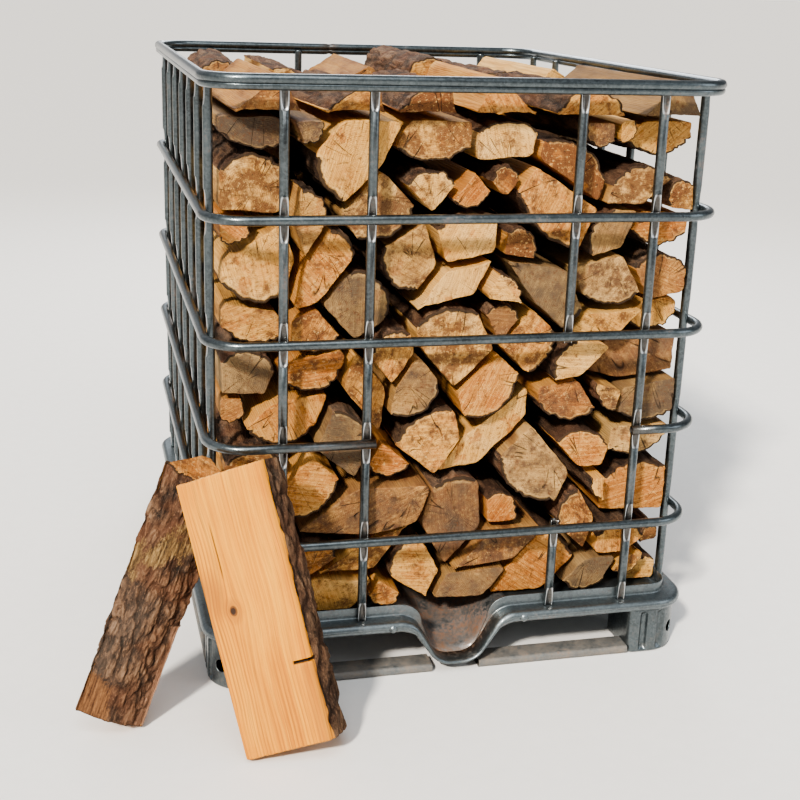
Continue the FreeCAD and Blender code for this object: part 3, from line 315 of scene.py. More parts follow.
endLook = {
    "noise": {"wide": (15, 15, 3, 0.6), "blotch": (36, 36, 5, 0.66), "fine": (420, 420, 3, 0.7),
              "speck": (150, 150, 4, 0.72), "room": (20, 20, 1, 0.5), "heart": (26, 26, 3, 0.55),
              "spots": (130, 130, 3, 0.6)},
    "ringSway": 0.014, "trackTurn": (9.0, 5.0), "tracks": (300, 12, 3), "spokes": (2.4, 9, 4),
    "crackHalf": 0.011,
    "coats": (("core", 0.625, 0.665, 0.55, "orange"), ("rings", 0, 1, 0.22, "orange"),
              ("tracks", 0.45, 0.75, 0.36, "cream"), ("tracks", 0.56, 0.28, 0.46, "brown"),
              ("dirt", 0.69, 0.84, 0.85, "brown"), ("greyed", 0, 1, 0.9, "grey"),
              ("mould", 0, 1, 0.7, "dark"), ("paleSpeck", 0, 1, 1, "cream"),
              ("speck", 0.56, 0.64, 0.70, "brown"), ("fine", 0.58, 0.75, 0.35, "brown"),
              ("crack", 0, 1, 0.92, "dark"), ("fringe", 0, 1, 0.4, "cream"), ("bark", 0, 1, 0.95, "dark")),
    "rough": (0.62, "fine", 0.3), "bump": (0.8, 0.0020),
    "relief": {"tracks": 0.7, "rings": 0.2, "fine": 0.3, "speck": -0.5, "crack": -1.8, "bark": -0.6,
               "blotch": 0.6},
}


def sawnEnd():
    # "rim" is a point attribute: 1 where the bark meets the cut
    finish = LogFinish("sawnEnd", 0.25, endLook["noise"])
    across, upward, along = finish.across, finish.upward, finish.along
    weather, warmth, stain = finish.weather, finish.warmth, finish.stain
    noise, masks = named(finish.masks), finish.masks
    rim = finish.attribute("rim", "Fac")
    radius, masks["rings"] = finish.rings(noise.wide, endLook["ringSway"])
    # saw tracks run across the face at an angle of the log's own
    turn = warmth * endLook["trackTurn"][0] + weather * endLook["trackTurn"][1]
    onward = across * turn.cosine() + upward * turn.sine()
    sideways = upward * turn.cosine() - across * turn.sine()
    place = [flow * scale for flow, scale in zip((onward, sideways, along), endLook["tracks"])]
    masks["tracks"] = finish.noise(finish.vector(*place), 1.0, 3.0, 0.62)
    # drying cracks run out from the pith; their dark colour is painted shade inside the cracks
    polar = upward.angleOver(across), along, radius
    place = [flow * scale for flow, scale in zip(polar, endLook["spokes"])]
    spokes = finish.noise(finish.vector(*place), 1.0, 1.0, 0.4)
    thin = 1.0 - ((spokes - 0.5).size() / endLook["crackHalf"]).clear()
    masks["crack"] = thin * noise.room.rise(0.48, 0.6)
    masks["core"] = noise.heart + warmth * 0.14
    masks["dirt"] = noise.blotch + stain * 0.42
    masks["greyed"] = greyed = (weather * 2.6 - 1.55 + (noise.wide - 0.5) * 1.2).clear()
    masks["mould"] = noise.spots.rise(0.60, 0.68) * (noise.blotch + stain * 0.2).rise(0.5, 0.75)
    masks["paleSpeck"] = noise.speck.rise(0.44, 0.35) * (0.50 - greyed * 0.40)
    # the bark's edge is ragged, with pale torn wood beside it
    ragged = rim + (noise.fine - 0.5) * 0.06 + (noise.blotch - 0.5) * 0.10
    masks["fringe"] = ragged.rise(0.82, 0.88) * noise.blotch.rise(0.42, 0.62)
    masks["bark"] = ragged.rise(0.89, 0.93)
    colour = finish.wood(0.62, 0.75, 0.12 - rim.rise(0.5, 0.9) * 0.12)
    return finish.close(colour, endLook)


sideLook = {
    "noise": {"wide": (22, 5, 3, 0.6), "fibre": (240, 7, 4, 0.6), "strand": (900, 26, 2, 0.6)},
    "ringSway": 0.01,
    "coats": (("fibre", 0.45, 0.75, 0.45, "tan"), ("fibre", 0.5, 0.25, 0.4, "cream"),
              ("rings", 0, 1, 0.25, "brown"), ("greyed", 0, 1, 0.85, "grey"),
              ("stained", 0.66, 0.86, 0.7, "brown"), ("strand", 0.6, 0.8, 0.45, "brown")),
    "rough": (0.66, "strand", 0.26), "bump": (0.8, 0.0028),
    "relief": {"fibre": 1.0, "strand": 0.4, "rings": 0.2},
}


def splitSide():
    finish = LogFinish("splitSide", 0.25, sideLook["noise"])
    wide, masks = finish.masks["wide"], finish.masks
    masks["rings"] = finish.rings(wide, sideLook["ringSway"])[1]
    masks["greyed"] = finish.weather * 2.0 - 1.1 + (wide - 0.5)
    masks["stained"] = wide + finish.stain * 0.3
    return finish.close(finish.wood(0.55, 0.8, 0.10), sideLook)


barkLook = {
    "noise": {"plates": (85, 26, 5, 0.66), "flakes": (330, 170, 4, 0.7), "moss": (12, 12, 3, 0.55),
              "fibre": (260, 16, 3, 0.6)},
    "plain": ((0.10, (0.012, 0.007, 0.005)), (0.30, (0.070, 0.037, 0.022)),
              (0.46, (0.168, 0.093, 0.052)), (0.68, (0.30, 0.190, 0.115))),
    "stripped": ((0.3, (0.055, 0.032, 0.015)), (0.5, (0.19, 0.115, 0.048)), (0.72, (0.40, 0.265, 0.11))),
    "torn": ((0.3, (0.060, 0.024, 0.011)), (0.72, (0.29, 0.140, 0.060))),
    "coats": (("lichen", 0.52, 0.76, 0.28, "lichen"), ("moss", 0.54, 0.32, 0.55, "russet"),
              ("flakes", 0.56, 0.76, 0.60, "flake"), ("hollows", 0.41, 0.30, 0.75, "hollow"),
              ("fresh", 0, 0.4, 0.6, "fresh"), ("band", 0, 1, 0.9, "stripped"), ("patch", 0, 1, 0.9, "torn"),
              ("raw", 0, 1, 0.8, "raw")),
    "rough": (0.75, "flakes", 0.2), "bump": (1.0, 0.006),
    "relief": {"plates": 1.4, "flakes": 0.7},
}


def roughBark():
    # "furrow" is 1 at the bottom of a furrow; "bare" marks a stripped band, a torn patch and a raw edge
    finish = LogFinish("roughBark", 0.2, barkLook["noise"])
    noise, masks = named(finish.masks), finish.masks
    band, patch, raw = finish.parts(finish.attribute("bare"))
    # the bark's base colour follows this height, darker in furrow bottoms and low plates: partly the bark's
    # own colour, partly painted shade
    height = noise.plates - finish.attribute("furrow", "Fac") * 0.26 + (noise.flakes - 0.5) * 0.5
    grit = (noise.flakes - 0.5) * 1.2 + (noise.plates - 0.5) * 0.8
    masks["lichen"] = noise.moss + finish.weather * 0.3 - 0.1
    # painted shade: where the plates and flakes noise (also the bump) is low, the bark goes near-black
    masks["hollows"] = noise.plates * 0.5 + noise.flakes * 0.5
    masks["fresh"] = 0.5 - finish.weather
    masks["band"] = (band + grit * 0.9).rise(0.42, 0.70) * band.rise(0.0, 0.1)
    masks["patch"] = (patch + grit * 1.1).rise(0.36, 0.80) * patch.rise(0.0, 0.1)
    masks["raw"] = raw * (noise.fibre + grit * 0.3).rise(0.32, 0.62)
    tints = dict(woodTints, stripped=finish.ramp(noise.fibre + grit * 0.4, barkLook["stripped"]),
                 torn=finish.ramp(noise.fibre + grit * 0.3, barkLook["torn"]))
    return finish.close(finish.ramp(height, barkLook["plain"]), barkLook, tints)


faceLook = {
    "noise": {"sway": (7, 4, 2, 0.5), "wide": (16, 6, 3, 0.6), "room": (13, 2.6, 1, 0.5)},
    "fibre": (330, 90, 2.4, 3, 0.6), "strand": (1500, 300, 14, 3, 0.6), "late": (90, 30, 0.8, 1, 0.5),
    "knot": (-0.038, 0.010), "knotSize": 0.0066, "knotLong": 0.40, "knotPush": 1.6, "lineSway": 0.018,
    "linePitch": 0.0056, "slot": (0.058, -0.105), "slotReach": 0.022, "slotWidth": 0.0034, "slotDepth": 0.009,
    "slotEdges": (-1.5, -1.12, -1, 1, 1.12, 1.5), "slotFace": 0.012,
    "crackLine": -0.0045, "crackHalf": 0.0013, "crackSpan": (0.055, 0.165),
    "patchAt": (-0.024, 0.035), "patchScale": (48.0, 19.0), "stripAt": -0.014,
    "plain": ((0.28, (0.77, 0.362, 0.040)), (0.5, (0.68, 0.272, 0.021)), (0.72, (0.51, 0.166, 0.012))),
    "coats": (("lines", 0, 1, 0.55, "lateWood"), ("fibre", 0.50, 0.72, 0.5, "lateWood"),
              ("fibre", 0.46, 0.26, 0.45, "light"), ("strand", 0.55, 0.74, 0.6, "fine"),
              ("warm", 0, 1, 1, "warm"), ("halo", 0, 1, 0.5, "red"), ("core", 0, 1, 0.85, "brown"),
              ("heart", 0, 1, 0.9, "dark"), ("crack", 0, 1, 0.9, "dark"), ("slot", 0, 1, 0.98, "slot")),
    "rough": (0.50, "strand", 0.3), "bump": (0.6, 0.002),
    "relief": {"fibre": 0.5, "strand": 0.3, "rings": -0.2, "crack": -1.5, "heart": -0.8},
}


def cleanFace():
    # straight grain that flows round a knot: beside * (1 - push * size^2 / distance^2)
    look = named(faceLook)
    finish = LogFinish("cleanFace", 0.3, look.noise)
    across, inward, along = finish.across, finish.upward, finish.along
    noise, masks = named(finish.masks), finish.masks
    beside, above = across - look.knot[0], along - look.knot[1]
    knot = look.knotSize ** 2
    apart = (beside * beside + above * above * look.knotLong).atLeast(tiny)
    bend = (1.0 - look.knotPush * knot / apart).atLeast(0.0)
    line = beside * bend + (noise.sway - 0.5) * look.lineSway
    for key in ("fibre", "strand", "late"):
        fine, deep, slow, detail, rough = faceLook[key]
        place = finish.vector(line * fine, inward * deep, along * slow)
        masks[key] = finish.noise(place, 1.0, detail, rough)
    fibre, strand = masks["fibre"], masks["strand"]
    waves = (line * (fullTurn / look.linePitch) + (noise.wide - 0.5) * 5.0).sine() * 0.5 + 0.5
    masks["rings"] = waves ** 3.0
    masks["lines"] = masks["rings"] * noise.room.rise(0.38, 0.62)
    # a warmer patch beside the knot, and a warmer strip below the saw slot
    patchX = (beside - look.patchAt[0]) * look.patchScale[0]
    patchY = (above - look.patchAt[1]) * look.patchScale[1]
    patch = (1.0 - patchX * patchX - patchY * patchY).clear()
    strip = (across - look.slot[0] - look.stripAt + (noise.sway - 0.5) * 0.01).rise(0.0, 0.004)
    masks["warm"] = patch * 0.6 + strip * (look.slot[1] - along).rise(0.0, 0.01) * 0.4
    # the knot's halo, core and heart
    masks["halo"] = (1.0 - apart / (knot * 7.0)).clear()
    masks["core"] = (1.0 - (apart + (fibre - 0.5) * (knot * 0.8)) / knot).rise(0.0, 0.3)
    masks["heart"] = (1.0 - (apart + (strand - 0.5) * knot) / (knot * 0.4)).rise(0.0, 0.4)
    # a crack above the knot, painted dark as shade inside it
    start, stop = look.crackSpan
    thin = 1.0 - ((line - look.crackLine).size() / look.crackHalf).clear()
    masks["crack"] = thin * above.rise(start, start + 0.02) * above.rise(stop, stop - 0.03)
    # painted shade: the saw slot, which is also cut into the mesh, is painted near-black
    slotAcross = (across - look.slot[0]).size().rise(look.slotReach, look.slotReach * 0.9)
    masks["slot"] = slotAcross * (along - look.slot[1]).size().rise(look.slotWidth * 1.1, look.slotWidth)
    return finish.close(finish.ramp(masks["late"] * 0.5 + noise.wide * 0.5, look.plain), faceLook)


endSlot, splitSlot, barkSlot = range(3)
logMaterials = [sawnEnd(), splitSide(), roughBark()]
faceMaterials = [logMaterials[0], cleanFace(), logMaterials[2]]
print("wood finishes made")


# Logs, rebuilt from the CAD solids' own sections. Waves and furrows: frequency across, along, depth

logShape = {
    "around": 72, "along": 15, "inset": (0.0016, 0.0048), "endTilt": 0.05, "endRipple": (45, 0.0012),
    "splitWaves": ((20.0, 3.0, 0.0044), (75.0, 6.0, 0.0026), (190.0, 12.0, 0.0014)),
    "furrows": ((52.0, 15.0, 0.0052), (120.0, 42.0, 0.0020)), "furrowBend": (0.6, 1.4), "furrowHalf": 0.42,
    "capShares": (0.2, 0.45, 0.68, 0.85, 0.94, 0.985), "edgeSteps": (0.0014, 0.0045, 0.013),
    "sideStart": 0.028, "roundPasses": (1, 4), "pithShare": (0.4, 1.3), "grainShift": 40, "barkOver": 0,
    "stripDepth": 0.0, "stripSmooth": 0.8, "faceHalf": None, "topLean": None, "slotRoom": None, "seed": 41,
    "furrowPower": 0.8, "furrowSeed": 50, "bendSeed": 20, "axisSense": (0.2, 1.0, 0.6), "arcAlike": 0.03,
    "arcTurn": 0.5,
}


def nodeSolids(node):
    # corner points of each separate solid in a node: labels spread over shared corners
    mesh = frame["nodes"][node].data
    mesh.calc_loop_triangles()
    corners = np.empty(len(mesh.loop_triangles) * 3, int)
    mesh.loop_triangles.foreach_get("vertices", corners)
    places, index = np.unique(np.round(nodePoints(node), 5)[corners], axis=0, return_inverse=True)
    faces = index.reshape(-1, 3)
    label = np.arange(len(places))
    while True:
        fresh = label.copy()
        np.minimum.at(fresh, faces.ravel(), np.repeat(label[faces].min(1), 3))
        if (fresh == label).all():
            break
        label = fresh
    return [places[label == kind] for kind in np.unique(label)]


def readLog(points, facing):
    # axis between the two ends, section in the plane across it, and the two end planes
    centre = points.mean(0)
    long = np.linalg.svd(points - centre)[2][0]
    far = (points - centre) @ long > 0
    axis = points[far].mean(0) - points[~far].mean(0)
    axis = axis / np.linalg.norm(axis)
    if axis @ logShape["axisSense"] < 0:
        axis, far = -axis, ~far
    right = np.cross(axis, (0, 0, 1.0) if facing is None else facing)
    right = right / np.linalg.norm(right)
    up = np.cross(axis, right)
    flat = (points - centre) @ np.stack([right, up, axis], 1)
    planes = []
    for side in (~far, far):
        columns = np.c_[np.ones(side.sum()), flat[side, :2]]
        planes.append(np.linalg.lstsq(columns, flat[side, 2], rcond=None)[0])
    section = np.unique(np.round(flat[~far, :2], 5), axis=0)
    angle = np.arctan2(*(section - section.mean(0)).T[::-1])
    return section[np.argsort(angle)], planes, centre, np.stack([right, up, axis])


def barkSides(section):
    # an arc shows as neighbouring edges of one length that turn a little
    edge = np.roll(section, -1, 0) - section
    length = np.linalg.norm(edge, axis=1)
    after = np.roll(edge, -1, 0)
    turn = np.abs(np.arctan2(edge[:, 0] * after[:, 1] - edge[:, 1] * after[:, 0], (edge * after).sum(1)))
    alike = np.abs(length - np.roll(length, -1)) < logShape["arcAlike"] * length
    alike = alike & (turn < logShape["arcTurn"])
    return alike | np.roll(alike, 1)


def arcCentre(points):
    # least-squares circle through the bark's corners
    columns = np.c_[2 * points, np.ones(len(points))]
    return np.linalg.lstsq(columns, (points ** 2).sum(1), rcond=None)[0][:2]


def travelled(points):
    # distance along a line of points up to each of them
    return joined([[0], np.cumsum(np.linalg.norm(np.diff(points, axis=0), axis=1))])


def resample(section, bark, count):
    # even steps round the outline, and whether each step lies on bark
    ends = np.vstack([section, section[:1]])
    travel = travelled(ends)
    steps = np.arange(count) / count * travel[-1]
    outline = np.stack([np.interp(steps, travel, ends[:, k]) for k in range(2)], 1)
    edge = np.clip(np.searchsorted(travel, steps, side="right") - 1, 0, len(section) - 1)
    return outline, bark[edge].astype(float)


def roundOff(outline, passes):
    # each point moves halfway to the middle between its neighbours
    for _ in range(passes):
        outline = 0.5 * outline + 0.25 * (np.roll(outline, 1, 0) + np.roll(outline, -1, 0))
    return outline


def waved(points, waves, seed):
    # noise layers added up
    return sum(depth * latticeNoise(points * (wide, wide, slow), seed + k)
               for k, (wide, slow, depth) in enumerate(waves))


def furrowed(points, shape, seed):
    # plates parted by furrows: each layer is deep where its bent noise crosses one half
    deep = 0
    slower, push = shape.furrowBend
    for k, (wide, slow, depth) in enumerate(shape.furrows):
        often = np.array((wide, wide, slow))
        bend = latticeNoise(points * (often * slower), seed + shape.bendSeed + k)[..., None]
        noise = latticeNoise(points * often + bend * push, seed + k)
        deep = deep + depth * unit(1 - np.abs(2 * noise - 1) / shape.furrowHalf) ** shape.furrowPower
    return deep


def ringRows(shape, length, slotCut):
    # each ring's share of the section and of the axis: a cap, the side and the other cap
    inner = np.linspace(shape.sideStart, length - shape.sideStart, shape.along)
    if len(slotCut):
        inner = np.sort(np.append(inner[np.abs(inner - slotCut.mean()) > shape.slotRoom], slotCut))
    near, caps = np.array(shape.edgeSteps), np.array(shape.capShares)
    side = joined([near, inner, length - near[::-1]]) / length
    share = joined([caps, np.ones(len(side)), caps[::-1]])
    station = joined([np.zeros(len(caps)), side, np.ones(len(caps))])
    return share, station, share == 1


def logPith(section, bark, shape, draw, facing):
    # the year rings' middle: a set place, the bark's centre, or a place on the way to a corner and past it
    if facing is not None:
        return section.min(0) + (shape.faceHalf, 0)
    if bark.any():
        return arcCentre(section[bark | np.roll(bark, 1)])
    return section[draw.integers(len(section))] * draw.uniform(*shape.pithShare)


def inwardNormals(outline):
    # a quarter turn from the line between both neighbours
    tangent = np.roll(outline, -1, 0) - np.roll(outline, 1, 0)
    tangent = tangent / np.linalg.norm(tangent, axis=1, keepdims=True)
    return np.stack([-tangent[:, 1], tangent[:, 0]], 1)


def endCuts(flat, section, planes, shape, draw, seed, shift, middle):
    # heights of both cuts over the section: each leans and ripples a little, never out of the solid
    often, ripple = shape.endRipple
    ends = []
    for sign, plane in zip((1, -1), planes):
        lean = draw.normal(0, shape.endTilt, 2)
        if sign < 0 and shape.topLean:
            lean = np.array((0.0, shape.topLean))
        reach = np.abs(section - middle).max(0) @ np.abs(lean)
        spot = joined([flat * often, np.full((*flat.shape[:2], 1), sign + shift)], 2)
        offset = (flat - middle) @ lean + reach + ripple * latticeNoise(spot, seed)
        ends.append(plane[0] + flat @ plane[1:] + sign * offset)
    return ends


def buildLog(points, draw, shape, tone, facing=None, strip=None):
    # closed tube: each ring is the section drawn in by noise and towards its middle, at a share of the axis
    section, planes, centre, axes = readLog(points, facing)
    bark = barkSides(section)
    count = shape.around
    outline, onBark = resample(section, bark, count)
    onBark = np.max([np.roll(onBark, step) for step in range(-shape.barkOver, shape.barkOver + 1)], 0)
    onBark = (onBark + np.roll(onBark, 1) + np.roll(onBark, -1)) / 3
    outline = roundOff(outline, draw.integers(*shape.roundPasses))
    middle = outline.mean(0)
    pith = logPith(section, bark, shape, draw, facing)
    seed = int(draw.integers(1, 9999))
    shift = 0.0 if facing is not None else draw.uniform(0, shape.grainShift)
    inset = draw.uniform(*shape.inset)
    length = planes[1][0] - planes[0][0]
    slotRows = np.zeros(0)
    if shape.slotRoom:
        slotRows = faceLook["slot"][1] + faceLook["slotWidth"] * np.array(faceLook["slotEdges"])
    share, station, isSide = ringRows(shape, length, slotRows - planes[0][0])
    rows = len(share)
    base = np.broadcast_to(outline, (rows, count, 2))
    travel = np.broadcast_to((station * length)[:, None, None], (rows, count, 1))
    probe = joined([base, travel], 2) + shift
    split = waved(probe, shape.splitWaves, seed)
    rough = furrowed(probe, shape, seed + shape.furrowSeed)
    bare = np.zeros((rows, count, 3))
    if strip is not None:
        bare = strip(base - pith, travel[..., 0] - length / 2) * onBark[:, None]
        smooth = bare.max(2)
        rough = rough * (1 - shape.stripSmooth * smooth) + shape.stripDepth * smooth
    furrow = unit(rough / shape.furrows[0][2]) * onBark
    depth = inset + split * (1 - onBark) + rough * onBark
    if len(slotRows):
        # the saw slot: its two middle rows sink, from the bark to the end of its reach
        first = np.searchsorted(station * length, slotRows[0] - planes[0][0] - tiny)
        apart = np.abs(outline - pith - (faceLook["slot"][0], 0))
        isSlot = (apart[:, 0] < faceLook["slotReach"]) & (apart[:, 1] < faceLook["slotFace"])
        depth[first + 2:first + 4] += faceLook["slotDepth"] * isSlot
    flat = base + inwardNormals(outline) * depth[..., None]
    flat = middle + (flat - middle) * share[:, None, None]
    near, far = endCuts(flat, section, planes, shape, draw, seed, shift, middle)
    height = near + (far - near) * station[:, None]
    if len(slotRows):
        height[first:first + len(slotRows)] = slotRows[:, None]
    grid, quads, triangles = capped(joined([flat, height[..., None]], 2))
    grain = grid - np.append(pith, -shift)
    isBark = (onBark + np.roll(onBark, -1)) / 2 > 0.5
    along = (isSide[:-1] & isSide[1:])[:, None]
    slots = np.where(along, np.where(isBark, barkSlot, splitSlot), endSlot).ravel()
    slots = joined([slots, np.full(len(triangles), endSlot)])
    layers = {"grain": grain, "tone": np.broadcast_to(tone, grain.shape),
              "rim": np.append((onBark * share[:, None]).ravel(), (0, 0)),
              "furrow": np.append(furrow.ravel(), (0, 0)),
              "bare": joined([bare.reshape(-1, 3), np.zeros((2, 3))])}
    return centre + grid @ axes, quads, triangles, slots, layers


def joinParts(parts):
    # several meshes as one: corner numbers shifted by the points before them
    starts = joined([[0], np.cumsum([len(part[0]) for part in parts])[:-1]])
    points = joined([part[0] for part in parts])
    quads, triangles = [joined([part[k] + start for part, start in zip(parts, starts)]) for k in (1, 2)]
    slots = joined([part[3][:len(part[1])] for part in parts] + [part[3][len(part[1]):] for part in parts])
    layers = {key: joined([part[4][key] for part in parts]) for key in parts[0][4]}
    return points, quads, triangles, slots, layers


def putLogs(node, ending, parts, materials):
    points, quads, triangles, slots, layers = joinParts(parts)
    piece = putMesh(node + ending, points, quads, triangles, slots, materials, layers)
    dress(piece, node)
    print(node, len(parts), "logs,", 2 * len(quads) + len(triangles), "triangles")


stackNodes = sorted(node for node in frame["nodes"] if "firewood" in node or "loose_log" in node)
for number, node in enumerate(stackNodes):
    draw = np.random.default_rng(logShape["seed"] + number)
    solids = nodeSolids(node)
    logs = [buildLog(points, draw, named(logShape), draw.random(3)) for points in solids]
    putLogs(node, "_logs", logs, logMaterials)


leanShape = {
    "leaning_log_front": {"around": 220, "along": 120, "inset": (0.0008, 0.001), "endTilt": 0.015, "seed": 7,
                          "splitWaves": ((9.0, 2.2, 0.0030), (70.0, 3.0, 0.0012), (260.0, 8.0, 0.0008)),
                          "furrows": ((58.0, 17.0, 0.0075), (130.0, 46.0, 0.0030)),
                          "tone": (0.25, 0.55, 0.35), "faceHalf": 0.081, "topLean": 0.2, "slotRoom": 0.012},
    "leaning_log_left": {"around": 240, "along": 170, "inset": (0.0004, 0.0006), "endTilt": 0.02, "seed": 12,
                         "furrows": ((64.0, 22.0, 0.0050), (150.0, 64.0, 0.0034)), "stripDepth": 0.0045,
                         "tone": (0.5, 0.75, 0.5), "faceHalf": 0.068, "barkOver": 6},
}
leanFacing = (0.157, -0.988, 0.0)
bareMarks = {"bandAt": 0.110, "bandTilt": 0.85, "bandHalf": 0.030, "bandFade": 0.05,
             "patchAt": (-0.052, -0.215), "patchSize": (0.040, 0.050), "patchFade": 0.9, "patchRag": 0.7,
             "rawEdge": 0.042, "rawTop": -0.04, "rawFade": 0.006, "rawRag": 0.02,
             "wobble": (60, 60, 40), "wobbleShift": 5, "wobbleSeed": 3}


def strippedBark(across, along):
    # band: near a slanting line; patch: inside an ellipse; raw edge: beyond a line low on the right side
    marks = named(bareMarks)
    place = np.stack([across[..., 0], across[..., 1], along], -1) * marks.wobble + marks.wobbleShift
    wobble = latticeNoise(place, marks.wobbleSeed) - 0.5
    line = along - marks.bandAt - marks.bandTilt * across[..., 0]
    band = unit(0.5 + (marks.bandHalf - np.abs(line) + marks.bandFade * wobble) / marks.bandFade)
    reach = np.hypot((across[..., 0] - marks.patchAt[0]) / marks.patchSize[0],
                     (along - marks.patchAt[1]) / marks.patchSize[1])
    patch = unit(0.5 + (1 - reach + marks.patchRag * wobble) / marks.patchFade)
    raw = unit((across[..., 0] - marks.rawEdge + marks.rawRag * wobble) / marks.rawFade)
    return np.stack([band, patch, raw * (along < marks.rawTop)], -1)


def leaningLog(node, materials, strip):
    # bigger logs with their own grain, seen from the side that faces the front
    shape = named(dict(logShape, **leanShape[node]))
    draw = np.random.default_rng(shape.seed)
    log = buildLog(nodeSolids(node)[0], draw, shape, np.array(shape.tone), leanFacing, strip)
    putLogs(node, "_wood", [log], materials)


leaningLog("leaning_log_front", faceMaterials, None)
leaningLog("leaning_log_left", logMaterials, strippedBark)


# Steel finishes; "worn" is 1 where the metal is pressed, welded or cut; the rim mask is 1 on the grooves'
# raised rims, where a near-white painted highlight goes on, partly polished zinc

steelTints = {
    "zinc": (0.096, 0.119, 0.129), "bright": (0.25, 0.288, 0.303), "dull": (0.047, 0.058, 0.064),
    "rust": (0.17, 0.062, 0.021), "bronze": (0.11, 0.072, 0.045), "polished": (0.72, 0.75, 0.77),
}
steelNoise = {"cloud": (9.0, 4.0, 0.6), "fine": (160.0, 4.0, 0.65), "drift": (26.0, 5.0, 0.68)}
spangleScale = 240.0
steelLook = {
    "tube": {"pale": 0.0, "rough": 0.24, "rust": 0.10, "dust": -0.5, "dirt": (0.30, 0.27, 0.23)},
    "sheet": {"pale": 0.30, "rough": 0.34, "rust": 0.14, "dust": -0.18, "dirt": (0.27, 0.24, 0.20)},
    "foot": {"pale": 0.04, "rough": 0.28, "rust": 0.14, "dust": -0.12, "dirt": (0.15, 0.13, 0.105)},
    "dusty": {"pale": 0.25, "rough": 0.42, "rust": 0.16, "dust": 0.62, "dirt": (0.205, 0.172, 0.140)},
    "dirty": {"pale": 0.45, "rough": 0.32, "rust": 0.50, "dust": 0.55, "dirt": (0.150, 0.072, 0.030)},
}


def zincSteel(kind):
    # zinc spangle, then pressed or cut places, dust that thins with height, and rust
    look = named(steelLook[kind])
    finish = Finish("zinc_" + kind, Coat_Roughness=0.14, Coat_IOR=1.6)
    place = finish.add("TexCoord", out="Object")
    spangle = finish.add("TexVoronoi", None, {"Vector": place, "Scale": spangleScale}, out="Color")
    grey, height = finish.parts(spangle)[0], finish.parts(place)[2]
    cloud, fine, drift = [finish.noise(place, *values) for values in steelNoise.values()]
    worn = finish.attribute("worn", "Fac")
    # painted highlight: the rim mask lays a near-white tint on the grooves' raised rims, partly polish
    shine = finish.attribute("shine", "Fac").rise(0.1, 0.75)
    dust = (drift - 0.5) * 2.2 + (fine - 0.5) * 0.8 + look.dust - (height - 0.05) * 1.5
    dust = dust.clear() * 0.9
    stains = (cloud * 0.6 + fine * 0.5 + worn * 0.06).rise(0.66 - look.rust * 0.22, 0.8 - look.rust * 0.16)
    masks = {"spangle": look.pale + grey * 0.25, "worn": worn * (0.22 + fine * 0.4),
             "shine": shine * (0.45 + fine * 0.5), "dust": dust, "stains": stains,
             "fine": fine, "grey": grey, "drift": dust * drift}
    coats = [(mask, 0, 1, strength, tint) for mask, strength, tint in (
        ("spangle", 1, "bright"), ("worn", 1, "bronze"), ("shine", 1, "polished"), ("dust", 1, "dirt"),
        ("stains", min(1.0, 0.3 + look.rust), "rust"))]
    plain = finish.blend(cloud.rise(0.35, 0.7), steelTints["dull"], steelTints["zinc"])
    finish.coat(plain, coats, masks, dict(steelTints, dirt=look.dirt))
    matt = (stains + dust).clear()
    finish.drive(Roughness=look.rough + cloud * 0.12 + fine * 0.08 + matt * 0.35,
                 Metallic=0.95 - matt * 0.85, Coat_Weight=0.42 - matt * 0.42)
    finish.relief({"fine": 1.0, "grey": 0.4, "drift": 2.0}, masks, 0.12, 0.0010)
    return finish.material


zinc = {kind: zincSteel(kind) for kind in steelLook}
print("steel finishes made")


# Cage and rim, swept along paths taken from the CAD pieces

cageShape = {
    "tubeWall": 0.0015, "cornerRadius": 0.080, "cornerSteps": 14, "around": 28, "boreDepth": 0.045,
    "lipStep": 0.0008, "hatchMiddle": 0.080, "dentHalf": 0.042, "dentDepth": 0.0075, "dentTool": 0.0085,
    "dentRows": 23, "dentSoft": 0.0018, "ridge": 0.0038, "seatHalf": (0.008, 0.015), "seatDepth": 0.0046,
    "wornStep": 0.001, "endGap": 0.0005, "endBore": 0.02, "endReach": 0.01, "frontArc": (95, 39),
    "backArc": (265, 11), "noGroove": 1.0,
    "railUpper": 0.0095, "railLower": 0.0075, "railSpacing": 0.011, "railCrease": 0.0035,
    "railSteps": (26, 20), "creaseTurn": (4, 5),
    "splice": (0.03, 0.012, 0.006, 0.003, 0, -0.003, -0.006, -0.012, -0.03),
    "spliceAt": -0.05, "splicePinch": (0.97, 0.9, 0.86, 0.9, 0.97),
}
cage = named(cageShape)


def loopPath(halfX, halfY, radius, steps):
    # rounded rectangle, counter-clockwise from the front right corner, with its outward directions
    angle = np.linspace(-math.pi / 2, 0, steps)
    angles = joined([angle + quarter * math.pi / 2 for quarter in range(4)])
    signs = np.repeat([[1, -1], [1, 1], [-1, 1], [-1, -1]], steps, 0)
    outward = np.stack([np.cos(angles), np.sin(angles), np.zeros(len(angles))], 1)
    middle = signs * (halfX - radius, halfY - radius)
    return joined([middle, np.zeros((len(angles), 1))], 1) + radius * outward, outward


def ringPath(node, radius=None):
    # path in the middle of a ring's tube, its outward directions and the tube's radius
    points = nodePoints(node)
    low, high = points.min(0), points.max(0)
    radius = radius or (high[2] - low[2]) / 2
    path, outward = loopPath(high[0] - radius, high[1] - radius, cage.cornerRadius, cage.cornerSteps)
    path[:, 2] = high[2] - radius
    return path, outward, radius


def sweep(path, side, up, profile):
    # profile (outward, upward), one for all places or one for each, carried on the path's own directions
    return path[:, None] + side[:, None] * profile[..., :1] + up[:, None] * profile[..., 1:]


def arc(centre, radius, start, end, steps):
    # even steps on a circle between two angles in degrees
    angle = np.radians(np.linspace(start, end, steps))
    return np.stack([centre[0] + radius * np.cos(angle), centre[1] + radius * np.sin(angle)], 1)


def upwards(path):
    return np.broadcast_to((0.0, 0.0, 1.0), path.shape)


def putSteel(node, points, quads, triangles, finish, layers=None):
    slots = np.zeros(len(quads) + len(triangles), int)
    piece = putMesh(node + "_steel", points, quads, triangles, slots, [zinc[finish]], layers)
    dress(piece, node)


